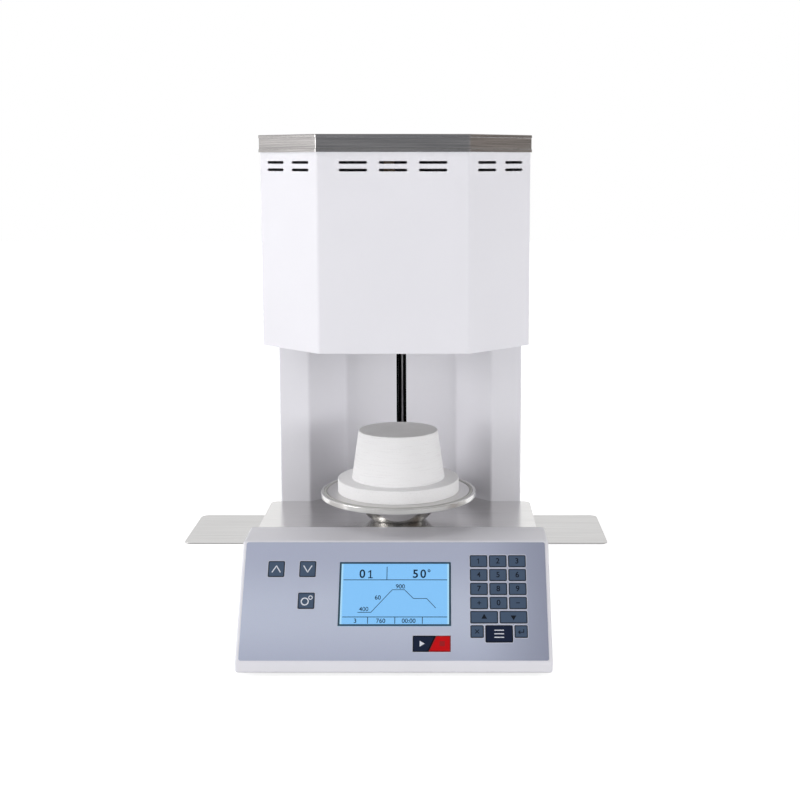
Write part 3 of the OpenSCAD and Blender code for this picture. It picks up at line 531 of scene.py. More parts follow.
def makeCap():
    # the sheet is rolled with a proud hem along both edges, which leaves a lower band between them
    low, high, hem, step = common["capBottom"], common["capTop"], cap["hem"], cap["hemStep"]
    lid = facetedBox("headCap", cap["lip"], cap["rear"], low, high, cap["corner"])
    roundEdges(lid, cap["bend"], 4, atHeight(high))
    for z in (low + hem, low + hem + step, high - hem - step, high - hem):
        divide(lid, (0, 0, z), (0, 0, 1))
    pick(lid, "VERT", lambda v: low + hem + step / 2 < where(v).z < high - hem - step / 2)
    bpy.ops.transform.shrink_fatten(value=mm(-step), use_even_offset=True)
    objectMode()
    removeFaces(lid, lambda f: f.normal.z < -0.9)
    giveWall(lid, cap["sheet"])
    softenEdges(lid, 0.2, 2, 30)
    smooth(lid, 25)
    dress(lid, "cabinet", "brushed_stainless", capSteel, "head_cap")


makeHead()
makeCap()
print("head made")


# the rear cabinet: two columns with a funnel between them, to the lift's slot

column = {"front": 77.5, "innerHalf": 105.3, "cheek": 40, "bottom": 117.8, "bend": 2.2,
          "flange": 15, "slotWidth": 11.5, "slotLow": 120.3, "slotHigh": 316.2, "slotDeep": 8}


def makeColumns():
    wide, inner, deep = common["halfWidth"], column["innerHalf"], column["cheek"]
    front, rear = column["front"], common["caseBack"]
    shell = block("columnHousing", (-wide, back(front), column["bottom"]),
                  (wide, back(rear), common["headBottom"]))
    removeFaces(shell, lambda f: abs(f.normal.z) > 0.9)
    for x in (inner, inner - deep, wide - column["flange"]):
        for side in (-1, 1):
            divide(shell, (side * x, 0, 0), (1, 0, 0))
    moveCorners(shell, (0, deep, 0), lambda v: near(where(v).y, front)
                and abs(where(v).x) < inner - deep + 1)
    removeFaces(shell, lambda f: near(where(f).y, rear)
                and abs(where(f).x) < wide - column["flange"])
    corners = ((wide, front), (inner, front), (inner - deep, front + deep), (wide, rear))
    roundEdges(shell, column["bend"], 4, lambda e: runs(e, 2) and any(
        near(abs(where(e).x), x) and near(where(e).y, y) for x, y in corners))
    giveWall(shell, common["sheet"])
    half, middle, through = column["slotWidth"] / 2, front + deep, column["slotDeep"]
    cut(shell, [block("slot", (-half, back(middle - through), column["slotLow"]),
                      (half, back(middle + through), column["slotHigh"]))])
    softenEdges(shell, 0.3)
    smooth(shell)
    dress(shell, "cabinet", "white_coat", whiteCoat, "column_housing")


makeColumns()
print("columns made")


# the base: console, deck and side trays

console = {
    "half": 160, "front": -160.8, "back": -34, "bottom": 4, "lip": 16.5, "slopeBack": -86.8,
    "wall": 2.5, "round": 3.2, "baseHalf": 140.2,
    "trayLow": 114.8, "trayHigh": 116.8, "trayFront": -85.1, "trayInner": 155, "trayOuter": 185,
    # left, right, low and high edge on the slope: display, key pad, arrow keys, start and stop
    "windows": ((-58, 58, 35.5, 103.9), (75.4, 137.2, 17.3, 112.7),
                (-133.6, -80.3, 51.9, 106.3), (17, 59, 7.8, 28)),
    "windowDepth": (-8, 3),
}
deck = {"half": 151, "thick": 1.5, "ear": 77, "corner": 8, "inner": 105.1, "rear": 117.3}
tray = {"inner": 85, "outer": 223, "front": -84.8, "rear": 26.5, "low": 115.1, "thick": 1.3,
        "corner": 8}
slope = math.atan2(common["deckTop"] - console["lip"], console["slopeBack"] - console["front"])
panelPlace = (Matrix.Translation(mm(0, back(console["front"]), console["lip"]))
              @ Matrix.Rotation(slope, 4, "X"))


def ontoPanel(piece):
    # from the panel's own x, up-slope and outward sizes to its place on the slope
    activate(piece)
    piece.matrix_world = panelPlace
    bpy.ops.object.transform_apply(location=True, rotation=True, scale=True)
    return piece


def panelBlock(name, left, right, low, high, bottom, top):
    return ontoPanel(block(name, (left, low, bottom), (right, high, top)))


def bothSides(inner, outer):
    # the reach in x of a mirrored pair, left and right
    return (-outer, -inner), (inner, outer)


def makeConsole():
    wide, front, rear = console["half"], console["front"], console["back"]
    shell = block("consoleHousing", (-wide, back(front), console["bottom"]),
                  (wide, back(rear), common["deckTop"]))
    divide(shell, (0, back(front), console["lip"]), (0, -math.sin(slope), math.cos(slope)),
           clear=True)
    roundEdges(shell, console["round"], 5, lambda e: not near(where(e).y, rear))
    removeFaces(shell, lambda f: f.normal.y > 0.99 or f.normal.z < -0.99)
    giveWall(shell, console["wall"])
    low, high = console["trayLow"], console["trayHigh"]
    cutters = [block("slot", (left, back(console["trayFront"]), low), (right, back(rear + 5), high))
               for left, right in bothSides(console["trayInner"], console["trayOuter"])]
    cutters += [panelBlock("window", *edges, *console["windowDepth"])
                for edges in console["windows"]]
    cut(shell, cutters)
    flanges = [block("flange", (left, back(rear - console["wall"]), console["bottom"] + 0.1),
                     (right, back(rear - 0.02), low))
               for left, right in bothSides(console["baseHalf"], wide - 1)]
    shell = join("consoleHousing", [shell] + flanges)
    softenEdges(shell, 0.2, 1, 60)
    smooth(shell)
    dress(shell, "cabinet", "white_coat", whiteCoat, "console_housing")


def makeDeck():
    low, top = common["deckTop"] - deck["thick"], common["deckTop"]
    plate = block("deckPlate", (-deck["half"], back(console["back"]), low),
                  (deck["half"], back(deck["ear"]), top))
    for side in (-1, 1):
        divide(plate, (side * deck["inner"], 0, 0), (1, 0, 0))
    pick(plate, "FACE", lambda f: f.normal.y > 0.99 and abs(where(f).x) < deck["inner"])
    bpy.ops.mesh.extrude_region_move(
        TRANSFORM_OT_translate={"value": mm(0, deck["rear"] - deck["ear"], 0)})
    reach = (deck["inner"] - (deck["rear"] - column["front"])) / deck["inner"]
    bpy.ops.transform.resize(value=(reach, 1, 1), center_override=(0, 0, 0))
    objectMode()
    roundEdges(plate, deck["corner"], 8, lambda e: runs(e, 2)
               and near(abs(where(e).x), deck["half"]) and near(where(e).y, deck["ear"]))
    softenEdges(plate, 0.35)
    smooth(plate)
    dress(plate, "cabinet", "brushed_stainless", deckSteelPaintedLight, "deck_plate")


def makeTray(side, name, node):
    x = sorted((side * tray["inner"], side * tray["outer"]))
    plate = block(name, (x[0], back(tray["front"]), tray["low"]),
                  (x[1], back(tray["rear"]), tray["low"] + tray["thick"]))
    roundEdges(plate, tray["corner"], 8, lambda e: runs(e, 2))
    softenEdges(plate, 0.3)
    smooth(plate)
    dress(plate, node, "brushed_stainless", traySteelPaintedLight, node)


makeConsole()
makeDeck()
makeTray(-1, "leftTray", "left_tray")
makeTray(1, "rightTray", "right_tray")
print("base made")


# the control panel: printed film, keys and what is printed on them

membrane = {"half": 155.8, "low": 1, "high": 124.96, "thick": 0.8, "corner": 2}
key = {"bottom": -1.5, "top": 1.1, "corner": 1.1, "edge": 0.3, "rim": 0.75, "gap": 0.25,
       "halo": 0.9}
display = {"halfWidth": 57.5, "low": 36, "high": 103.4, "frame": 1.9, "gap": 0.2,
           "face": (-9.5, -0.02), "pane": (0.1, 0.78), "border": (0.785, 0.84)}
inkLift = 0.03      # printed layers stand this far above what they are printed on
pad = {"left": 77.4, "top": 110.7, "across": 19.9, "down": 14.8, "width": 18, "high": 12.7,
       "gap": 1.9, "footWidth": 13.2, "programInset": 15.1, "programHigh": 17.4}
square = 16.8       # width of the arrow and settings keys
# the start and stop keys share one field, which a slanted gap splits
split = {"left": 19, "right": 57, "low": 9.8, "high": 26, "share": 0.6, "lean": 7.7, "gap": 0.7}
splitTop = split["left"] + split["share"] * (split["right"] - split["left"])

# left, right, low and high edge of each key on the slope
keyRows = {}
padNames = (("1", "2", "3"), ("4", "5", "6"), ("7", "8", "9"), ("plus", "0", "minus"))
for row, names in enumerate(padNames):
    for place, name in enumerate(names):
        left, top = pad["left"] + place * pad["across"], pad["top"] - row * pad["down"]
        keyRows["key_" + name] = (left, left + pad["width"], top - pad["high"], top)
padLeft, padRight = pad["left"], pad["left"] + 2 * pad["across"] + pad["width"]
halfKey = (padRight - padLeft - pad["gap"]) / 2
pageTop, footTop = pad["top"] - 4 * pad["down"], pad["top"] - 5 * pad["down"]
pageLow, footLow = pageTop - pad["high"], footTop - pad["high"]
keyRows["key_page_up"] = (padLeft, padLeft + halfKey, pageLow, pageTop)
keyRows["key_page_down"] = (padRight - halfKey, padRight, pageLow, pageTop)
keyRows["key_escape"] = (padLeft, padLeft + pad["footWidth"], footLow, footTop)
keyRows["key_program"] = (padLeft + pad["programInset"], padRight - pad["programInset"],
                          footTop - pad["programHigh"], footTop)
keyRows["key_enter"] = (padRight - pad["footWidth"], padRight, footLow, footTop)
for name, left, low in (("up", -131.6, 87.5), ("down", -99.1, 87.5), ("settings", -99.1, 53.9)):
    keyRows["key_" + name] = (left, left + square, low, low + square)


def keyPad(name, box, grow, bottom, top, corner):
    left, right, low, high = box
    piece = block(name, (left - grow, low - grow, bottom), (right + grow, high + grow, top))
    roundEdges(piece, corner + grow, 4, lambda e: runs(e, 2))
    return piece


def keyHoles(more=0.0):
    # cutters through the film for every key
    gap = key["gap"]
    holes = [keyPad("hole", box, gap + more, -3, 3, key["corner"]) for box in keyRows.values()]
    return holes + [block("hole", (split["left"] - gap, split["low"] - gap, -3),
                          (split["right"] + gap, split["high"] + gap, 3))]


def makeMembrane():
    wide, top, room = membrane["half"], membrane["thick"], display["gap"]
    film = keyPad("membranePanel", (-wide, wide, membrane["low"], membrane["high"]), 0, 0, top,
                  membrane["corner"])
    cut(film, keyHoles() + [block(
        "hole", (-display["halfWidth"] - room, display["low"] - room, -3),
        (display["halfWidth"] + room, display["high"] + room, 3))])
    softenEdges(film, 0.12, 1, 60)
    ontoPanel(film)
    smooth(film)
    dress(film, "cabinet", "membrane_film", filmPrint, "membrane_panel")

    ink = (top, top + inkLift)
    outlines = [keyPad("outline", box, key["halo"], *ink, key["corner"])
                for box in keyRows.values()]
    outlines.append(keyPad("outline", (split["left"], split["right"], split["low"], split["high"]),
                           key["halo"], *ink, 0.6))
    halo = join("keyOutlinePrint", outlines)
    cut(halo, keyHoles(0.02))
    ontoPanel(halo)
    dress(halo, "cabinet", "membrane_film", haloInk)


def finishKey(piece, node, slot, face, rim):
    roundEdges(piece, key["edge"], 2, atHeight(key["top"]))
    pick(piece, "FACE", upFace)
    bpy.ops.mesh.inset(thickness=mm(key["rim"]))
    objectMode()
    ontoPanel(piece)
    smooth(piece, 50)
    # the rim, darker than the face, is painted shade along the key's edge
    dress(piece, node, slot, [rim, face], node)
    facing = panelPlace.to_3x3() @ Vector((0, 0, 1))
    inner = max((f for f in piece.data.polygons if f.normal.dot(facing) > 0.99),
                key=lambda f: f.area)
    for f in piece.data.polygons:
        f.material_index = 1 if f.index == inner.index else 0


def slantedKey(name, corners):
    # corners: bottom left, bottom right, top right, top left
    low, high = corners[0][1], corners[2][1]
    piece = block(name, (corners[0][0], low, key["bottom"]), (corners[2][0], high, key["top"]))
    x, up = mm((corners[0][0] + corners[2][0]) / 2), mm((low + high) / 2)
    for vertex in piece.data.vertices:
        left, bottom = vertex.co.x < x, vertex.co.y < up
        corner = corners[0 if left and bottom else 1 if bottom else 3 if left else 2]
        vertex.co.x, vertex.co.y = mm(*corner)
    roundEdges(piece, key["corner"], 4, lambda e: runs(e, 2))
    return piece


def makeKeys():
    for node, box in keyRows.items():
        piece = keyPad(node.replace("_", "."), box, 0, key["bottom"], key["top"], key["corner"])
        finishKey(piece, node, *(("key_navy", navyFace, navyRimShade) if node == "key_program"
                                 else ("key_blue", keyFace, keyRimShade)))
    low, high, lean = split["low"], split["high"], split["lean"]
    start = slantedKey("key.start", ((split["left"], low), (splitTop - lean, low),
                                     (splitTop, high), (split["left"], high)))
    finishKey(start, "key_start", "key_navy", navyFace, navyRimShade)
    edge = splitTop + split["gap"]
    stop = slantedKey("key.stop", ((edge - lean, low), (split["right"], low),
                                   (split["right"], high), (edge, high)))
    finishKey(stop, "key_stop", "key_red", redFace, redRimShadeAndStopInk)


def lettering(name, words, size, x, up, height, weight):
    startClean()
    bpy.ops.object.text_add(location=(0, 0, 0))
    text = bpy.context.object
    text.data.body = words
    text.data.size = mm(size)
    text.data.align_x = "CENTER"
    text.data.align_y = "CENTER"
    text.data.offset = mm(weight)
    bpy.ops.object.convert(target="MESH")
    piece = bpy.context.object
    piece.name = name
    piece.location = mm(x, up, height)
    bpy.ops.object.transform_apply(location=True, rotation=True, scale=True)
    return piece


def bar(name, ends, width, height):
    # a flat printed stroke from one point of the panel to another
    (x0, u0), (x1, u1) = ends
    length, angle = math.hypot(x1 - x0, u1 - u0), math.atan2(u1 - u0, x1 - x0)
    startClean()
    bpy.ops.mesh.primitive_plane_add(size=1, location=mm((x0 + x1) / 2, (u0 + u1) / 2, height),
                                     rotation=(0, 0, angle), scale=(1, 1, 1))
    bpy.context.object.scale = (mm(length + width * 0.6), mm(width), 1)
    return settle(name)


def oneMark(x, up, high, width, height, base=False):
    # the figure 1, with its flag and, where asked, its foot
    top, foot = up + high / 2, up - high / 2
    marks = [bar("stroke", ((x, foot + width * 0.3), (x, top - width * 0.3)), width, height),
             bar("stroke", ((x, top - width * 0.4), (x - high * 0.26, top - high * 0.24)),
                 width * 0.85, height)]
    if base:
        marks.append(bar("stroke", ((x - high * 0.24, foot + width * 0.4),
                                    (x + high * 0.24, foot + width * 0.4)), width * 0.8, height))
    return marks


def triangle(name, x, up, size, height, turn):
    startClean()
    bpy.ops.mesh.primitive_circle_add(
        vertices=3, radius=mm(size), fill_type="NGON", location=mm(x, up, height),
        rotation=(0, 0, math.radians(turn)))
    return settle(name)


def ringMark(name, x, up, outer, width, height):
    startClean()
    bpy.ops.mesh.primitive_circle_add(vertices=40, radius=mm(outer), fill_type="NGON",
                                      location=mm(x, up, height))
    piece = settle(name)
    pick(piece, "FACE", lambda f: True)
    bpy.ops.mesh.inset(thickness=mm(width))
    bpy.ops.mesh.delete(type="FACE")
    objectMode()
    return piece


def makeLegends():
    top = key["top"] + inkLift
    centre = {node: ((b[0] + b[1]) / 2, (b[2] + b[3]) / 2) for node, b in keyRows.items()}
    digit = {"size": 8.2, "weight": 0.12, "fourWeight": 0.04, "oneHigh": 5.6, "oneStroke": 0.8}
    for number in range(10):
        node = "key_" + str(number)
        if number == 1:
            mark = join("legend.1", oneMark(
                *centre[node], digit["oneHigh"], digit["oneStroke"], top))
        else:
            mark = lettering("legend.%d" % number, str(number), digit["size"], *centre[node], top,
                             digit["fourWeight" if number == 4 else "weight"])
        dress(ontoPanel(mark), node, "key_blue", keyInk)
    # the ends of each stroke, from the middle of its key
    strokes = {
        "key_plus": [((-1.7, 0), (1.7, 0)), ((0, -1.7), (0, 1.7))],
        "key_minus": [((-1.7, 0), (1.7, 0))],
        "key_escape": [((-1.8, -1.8), (1.8, 1.8)), ((-1.8, 1.8), (1.8, -1.8))],
        "key_enter": [((-2.6, -0.8), (2.6, -0.8)), ((2.6, -0.8), (2.6, 2.2)),
                      ((-2.6, -0.8), (-1.1, 0.7)), ((-2.6, -0.8), (-1.1, -2.3))],
    }
    for node, lines in strokes.items():
        x, up = centre[node]
        marks = [bar("stroke", ((x + a, up + b), (x + c, up + d)), 0.85, top)
                 for (a, b), (c, d) in lines]
        dress(ontoPanel(join("legend." + node[4:], marks)), node, "key_blue", keyInk)
    for node, turn in (("key_page_up", 0), ("key_page_down", 180)):
        mark = triangle("legend." + node[4:].replace("_", "."), *centre[node], 3.4, top, turn)
        dress(ontoPanel(mark), node, "key_blue", keyInk)
    for node, way in (("key_up", 1), ("key_down", -1)):
        x, up = centre[node]
        marks = [bar("stroke", ((x + s * 4.2, up - way * 3.4), (x, up + way * 3.4)), 1.1, top)
                 for s in (-1, 1)]
        dress(ontoPanel(join("legend." + node[4:], marks)), node, "key_blue", whiteInk)
    x, up = centre["key_settings"]
    marks = [ringMark("mark", x - 1.4, up - 0.9, 4.2, 1.25, top),
             ringMark("mark", x + 4.3, up + 3.2, 2.3, 0.95, top)]
    dress(ontoPanel(join("legend.settings", marks)), "key_settings", "key_blue", whiteInk)
    x, up = centre["key_program"]
    marks = [bar("stroke", ((x - 4.6, up + d), (x + 4.6, up + d)), 1.0, top)
             for d in (-3.6, 0, 3.6)]
    dress(ontoPanel(join("legend.program", marks)), "key_program", "key_navy", whiteInk)
    up = (split["low"] + split["high"]) / 2
    mark = triangle("legend.start", split["left"] + 8.6, up, 3.4, top, -90)
    dress(ontoPanel(mark), "key_start", "key_navy", whiteInk)
    x = split["right"] - 8.4
    half = 2.6
    mark = block("legend.stop", (x - half, up - half, top - 0.02), (x + half, up + half, top))
    dress(ontoPanel(mark), "key_stop", "key_red", redRimShadeAndStopInk)


makeMembrane()
makeKeys()
makeLegends()
print("panel made")


# the display: a lit face with its figures, behind a clear pane

screen = {
    "left": -53, "right": 53.5, "header": 84.6, "headerTop": 98.5, "footer": 45.6,
    "middle": -8.5, "footerBars": (-27.3, 0.4, 28.4), "line": 0.75, "curveLine": 0.65,
    "curve": ((-37.7, 50.4), (-24.2, 50.4), (-2.7, 74.1), (9.9, 74.1), (19.1, 64.9),
              (32.7, 64.9), (41.8, 55.1)),
    "one": (-25.5, 90.6, 8.6, 1.3),    # x, up, height and stroke of the big figure 1
    # words, size, x, up and weight of the others
    "figures": (("0", 12.4, -34, 90.6, 0.25), ("5", 12.4, 21, 90.6, 0.25),
                ("0", 12.4, 29, 90.6, 0.25), ("°", 12.4 * 0.8, 35, 91.4, 0.15),
                ("400", 6.4, -31.5, 53.6, 0.03), ("60", 6.4, -17.5, 65.7, 0.08),
                ("900", 6.4, 5.5, 77.4, 0.08), ("3", 6.4, -40, 41.4, 0.08),
                ("760", 6.4, -14, 41.4, 0.08), ("00:00", 6.4, 14.5, 41.4, 0.08)),
}


def displayGlow():
    # the lit face of a backlit display: pale blue, brighter at its ends where the backlight leaks
    material, tree, coords = newMaterial("backlitDisplay")
    place = addNode(tree, "Mapping", {
        "vector_type": "TEXTURE", "Location": panelPlace.translation, "Rotation": (slope, 0, 0)},
        {"Vector": coords})
    axes = addNode(tree, "SeparateXYZ", {}, {0: place})
    fromMiddle = addNode(tree, "Math", {"operation": "ABSOLUTE"}, {0: axes.outputs["X"]})
    leak = addNode(tree, "MapRange", {
        "interpolation_type": "SMOOTHSTEP", "From Min": mm(53), "From Max": mm(55)},
        {"Value": fromMiddle})
    cells = addNode(tree, "TexChecker", {
        "Scale": 1 / mm(0.9), "Color1": linear("#84C4FA"), "Color2": linear("#80C0F6")},
        {"Vector": place})
    shade = addNode(tree, "Mix", {"data_type": "RGBA", 7: linear("#B4E4FF")}, {
        0: leak, 6: cells.outputs["Color"]})
    return finishSurface(material, None, {
        "Base Color": linear("#46687F"), "Roughness": 0.35, "Emission Strength": 1.06},
        {"Emission Color": shade.outputs[2]})


def displayPane():
    # a thin hard-coated pane: nearly clear, with a soft gloss
    material, tree, coords = newMaterial("clearDisplayPane")
    haze = addNode(tree, "TexNoise", {"Scale": 1 / mm(0.5), "Detail": 2}, {"Vector": coords})
    return finishSurface(material, None, {
        "Base Color": linear("#12212E"), "Roughness": 0.12, "IOR": 1.5, "Alpha": 0.1}, {},
        haze, 0.08, 0.01)


def makeDisplay():
    wide, low, high = display["halfWidth"], display["low"], display["high"]
    edge = display["frame"]
    face = panelBlock("displayFace", -wide, wide, low, high, *display["face"])
    smooth(face)
    dress(face, "cabinet", "display", displayGlow(), "lcd_module")
    pane = panelBlock("displayPane", -wide, wide, low, high, *display["pane"])
    smooth(pane)
    dress(pane, "cabinet", "display_window", displayPane(), "lcd_window")
    bottom, top = display["border"]
    border = block("displayBorder", (-wide, low, bottom), (wide, high, top))
    cut(border, [block("hole", (-wide + edge, low + edge, 0), (wide - edge, high - edge, 2))])
    ontoPanel(border)
    dress(border, "cabinet", "display_window", frameInk)

    header, footer, middle = screen["header"], screen["footer"], screen["middle"]
    left, right = screen["left"], screen["right"]
    lines = [((left, header), (right, header)), ((middle, header), (middle, screen["headerTop"])),
             ((left, footer), (right, footer))]
    lines += [((x, footer), (x, low + edge + 1)) for x in screen["footerBars"]]
    curve = screen["curve"]
    marks = [bar("line", ends, screen["line"], inkLift) for ends in lines]
    marks += [bar("curve", ends, screen["curveLine"], inkLift)
              for ends in zip(curve[:-1], curve[1:])]
    marks += oneMark(*screen["one"], inkLift, base=True)
    for words, size, x, up, weight in screen["figures"]:
        marks.append(lettering("figures", words, size, x, up, inkLift, weight))
    ink = ontoPanel(join("displayFigures", marks))
    dress(ink, "cabinet", "display", segmentInk)


makeDisplay()
print("display made")


# the lift table: plate, seal, bowl and the ceramics on it

plate = {"radius": 85.5, "bottom": 146.6, "top": 152.6, "round": 0.6, "edge": 1, "rim": 1}
seal = {"radius": 80.5, "cord": 1.75, "groove": 3.8, "depth": 2.8}
bowl = {"curve": 48, "topRadius": 46, "bottom": 119.8, "wall": 1.5, "rings": 28,
        "footRise": 0.8, "footIn": 1.2}
notch = {"half": 4.4, "front": 14, "rear": 60, "low": 124.6, "high": 160}
disc = {"radius": 66.9, "high": 14.6, "round": 1.2, "foot": 0.5}
ceramic = {"radius": 51.2, "topRadius": 43.5, "high": 53.3, "round": 1, "foot": 0.4}


def makePlate():
    top, bottom = plate["top"], plate["bottom"]
    wheel = drum("tablePlate", plate["radius"], bottom, top, 180)
    roundEdges(wheel, plate["round"], 3, atHeight(top))
    pick(wheel, "FACE", upFace)
    outer = plate["radius"] - plate["round"]
    groove = seal["groove"] / 2
    bpy.ops.mesh.inset(thickness=mm(outer - seal["radius"] - groove))
    bpy.ops.mesh.extrude_region_move(TRANSFORM_OT_translate={"value": mm(0, 0, -seal["depth"])})
    bpy.ops.mesh.inset(thickness=mm(seal["groove"]))
    bpy.ops.mesh.extrude_region_move(TRANSFORM_OT_translate={"value": mm(0, 0, seal["depth"])})
    objectMode()
    pick(wheel, "FACE", lambda f: f.normal.z < -0.99)
    bpy.ops.mesh.inset(thickness=mm(plate["edge"]))
    objectMode()
    moveCorners(wheel, (0, 0, plate["rim"]), lambda v: near(where(v).z, bottom)
                and Vector((where(v).x, where(v).y)).length > plate["radius"] - 1)
    softenEdges(wheel, 0.25, 2, 50)
    smooth(wheel)
    dress(wheel, "lift", "turned_steel", plateSteel, "table_plate")

    startClean()
    bpy.ops.mesh.primitive_torus_add(
        location=mm(0, back(0), plate["top"] - seal["depth"] + seal["cord"]), major_segments=160,
        minor_segments=16, major_radius=mm(seal["radius"]), minor_radius=mm(seal["cord"]))
    ring = settle("sealRing")
    smooth(ring, 80)
    dress(ring, "lift", "seal_silicone", sealSilicone, "seal_ring")


def makeBowl():
    # drawn up ring by ring from its foot, as on a spinning lathe
    centre = plate["bottom"] + math.sqrt(bowl["curve"] ** 2 - bowl["topRadius"] ** 2)
    rings = []
    start = bowl["bottom"] + bowl["footRise"]
    for step in range(bowl["rings"] + 1):
        z = start + (plate["bottom"] - bowl["bottom"] - bowl["footRise"]) * step / bowl["rings"]
        rings.append((math.sqrt(bowl["curve"] ** 2 - (centre - z) ** 2), z))
    radius, z = rings[0][0] - bowl["footIn"], bowl["bottom"]
    startClean()
    bpy.ops.mesh.primitive_circle_add(vertices=160, radius=mm(radius), fill_type="NGON",
                                      location=mm(0, back(0), z))
    shell = settle("liftBowl")
    pick(shell, "EDGE", lambda e: True)
    for nextRadius, nextZ in rings:
        bpy.ops.mesh.extrude_edges_move(TRANSFORM_OT_translate={"value": mm(0, 0, nextZ - z)})
        grow = nextRadius / radius
        bpy.ops.transform.resize(value=(grow, grow, 1), center_override=mm(0, back(0), nextZ))
        radius, z = nextRadius, nextZ
    objectMode()
    giveWall(shell, bowl["wall"])
    cut(shell, [block("notch", (-notch["half"], back(notch["front"]), notch["low"]),
                      (notch["half"], back(notch["rear"]), notch["high"]))])
    smooth(shell, 40)
    dress(shell, "lift", "brushed_stainless", bowlSteel, "lift_bowl")


def turnedBlock(name, sizes, low, slot, material, node):
    # a pressed ceramic piece standing at that height, with its top and foot edges rounded
    high = low + sizes["high"]
    piece = drum(name, sizes["radius"], low, high, 160, sizes.get("topRadius"))
    roundEdges(piece, sizes["round"], 4, atHeight(high))
    roundEdges(piece, sizes["foot"], 2, atHeight(low))
    smooth(piece)
    dress(piece, "lift", slot, material, node)


def makeCeramics():
    low = plate["top"]
    turnedBlock("insulationDisc", disc, low, "white_ceramic", discFibre, "insulation_disc")
    low += disc["high"]
    turnedBlock("firingBlock", ceramic, low, "white_ceramic", blockFibre, "firing_block")


makePlate()
makeBowl()
makeCeramics()
print("lift table made")


# the rest: merged copies of the solids, with their edges rounded

finishes = [
    # node, new name, edge, body, slot, material
    ("base_housing", "baseHousing", 0.3, "cabinet", "white_coat", whiteCoat),
    ("rear_cover", "rearCover", 0.3, "cabinet", "white_coat", whiteCoat),
    ("cover_screws", "coverScrews", 0.12, "cabinet", "screw_steel", screwSteel),
    ("inlet_module", "inletModule", 0.3, "cabinet", "black_plastic", blackPlastic),
    ("power_rocker", "powerRocker", 0.4, "power_rocker", "rocker_plastic", rockerPlastic),
    ("vacuum_line", "vacuumLine", 0.3, "cabinet", "bright_sheet", innerSteel),
    ("feet", "rubberFeet", 0.4, "cabinet", "foot_rubber", footRubber),
    ("base_pan", "basePan", 0.2, "cabinet", "bright_sheet", innerSteel),
    ("lift_arm", "liftArm", 0.4, "lift", "bright_sheet", innerSteel),
    ("lift_carriage", "liftCarriage", 0.5, "lift", "milled_aluminium", milledAluminium),
    ("spindle_nut", "spindleNut", 0.4, "lift", "bronze", bronze),
    ("lift_mast", "liftMast", 0.3, "cabinet", "black_metal", blackPaintAndSlotShade),
    ("guide_rods", "guideRods", 0, "cabinet", "ground_steel", shaftSteel),
    ("lift_spindle", "liftSpindle", 0.3, "spindle", "ground_steel", shaftSteel),
    ("spindle_bearings", "spindleBearings", 0.2, "cabinet", "turned_steel", plateSteel),
    ("lift_motor", "liftMotor", 0.8, "cabinet", "motor_steel", motorPaint),
    ("head_floor", "headFloor", 0.2, "cabinet", "bright_sheet", innerSteel),
    ("muffle_casing", "muffleCasing", 0.4, "cabinet", "bright_sheet", innerSteel),
    ("muffle_insulation", "muffleInsulation", 0.8, "cabinet", "fibre_insulation", muffleFibre),
    ("thermocouple", "thermocouple.head", 0.6, "cabinet", "beige_ceramic", beigeCeramic),
    ("transformer", "transformerRing", 0.3, "cabinet", "winding_tape", windingTape),
]
for node, name, edge, body, slot, material in finishes:
    dress(refine(node, name, edge), body, slot, material, node)

for node, material in (("heating_coil", heatWire), ("control_board", boardGreen)):
    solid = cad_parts[node]
    solid.data.materials.clear()
    solid.data.materials.append(material)
print("inner pieces made")


# floor, light and background

studio = {
    "floor": 14,            # metres
    "drop": -0.0002,        # metres, so that the feet stand clear of the paper
    "clearing": (0.35, 1.1),    # metres from the middle, where the floor turns into plain white
    "nearest": 0.7,         # how white the camera sees it at the middle
    "floorBehind": (-0.3, 0.4),    # metres in y, over which metal comes to see it white
    "roomBehind": (0.0, 0.5),      # the same for the background, as a share of a level look
    "aim": (0, 0, 0.28),
    "lamps": {
        # name: place, size in metres, watts, whether metal shows it
        "leftLamp": ((-2.2, -0.9, 0.55), (1.2, 0.9), 22.5, True),
        "leftHighLamp": ((-1.15, -0.75, 2.05), (1.0, 1.0), 9, False),
        "frontLeftLamp": ((-1.1, -1.9, 0.9), (0.5, 1.2), 2, True),
        "frontLamp": ((0.0, -2.4, 0.3), (2.2, 0.4), 2, False),
        "frontRightLamp": ((1.1, -1.9, 0.9), (0.5, 1.2), 2, True),
        "rightLowLamp": ((1.7, -1.7, 0.4), (0.8, 0.6), 7.8, False),
        "rightLamp": ((2.0, -1.1, 0.6), (1.0, 0.9), 11.5, False),
    },
}
room = {"front": "#707070", "back": "#ECECEC", "left": "#7C7C7C", "right": "#6C6C6C",
        "up": "#888888"}
mirrored = {"front": "#9FA1A6", "back": "#CCCCCC", "left": "#FFFBF9", "right": "#988B82",
            "up": "#CCCCCC"}


def shinyRays(tree):
    # what the camera sees itself, and what it sees in metal or through glass
    path = addNode(tree, "LightPath")
    shiny = addNode(tree, "Math", {"operation": "MAXIMUM"}, {
        0: path.outputs["Is Glossy Ray"], 1: path.outputs["Is Transmission Ray"]})
    return path.outputs["Is Camera Ray"], shiny


def whiteShare(tree, depth, start, end):
    # the camera sees plain white; so do metal and glass, but only behind the furnace
    seen, shiny = shinyRays(tree)
    behind = addNode(tree, "MapRange", {
        "interpolation_type": "SMOOTHSTEP", "From Min": start, "From Max": end}, {"Value": depth})
    share = addNode(tree, "Math", {"operation": "MULTIPLY_ADD", "use_clamp": True}, {
        0: shiny, 1: behind, 2: seen})
    return share


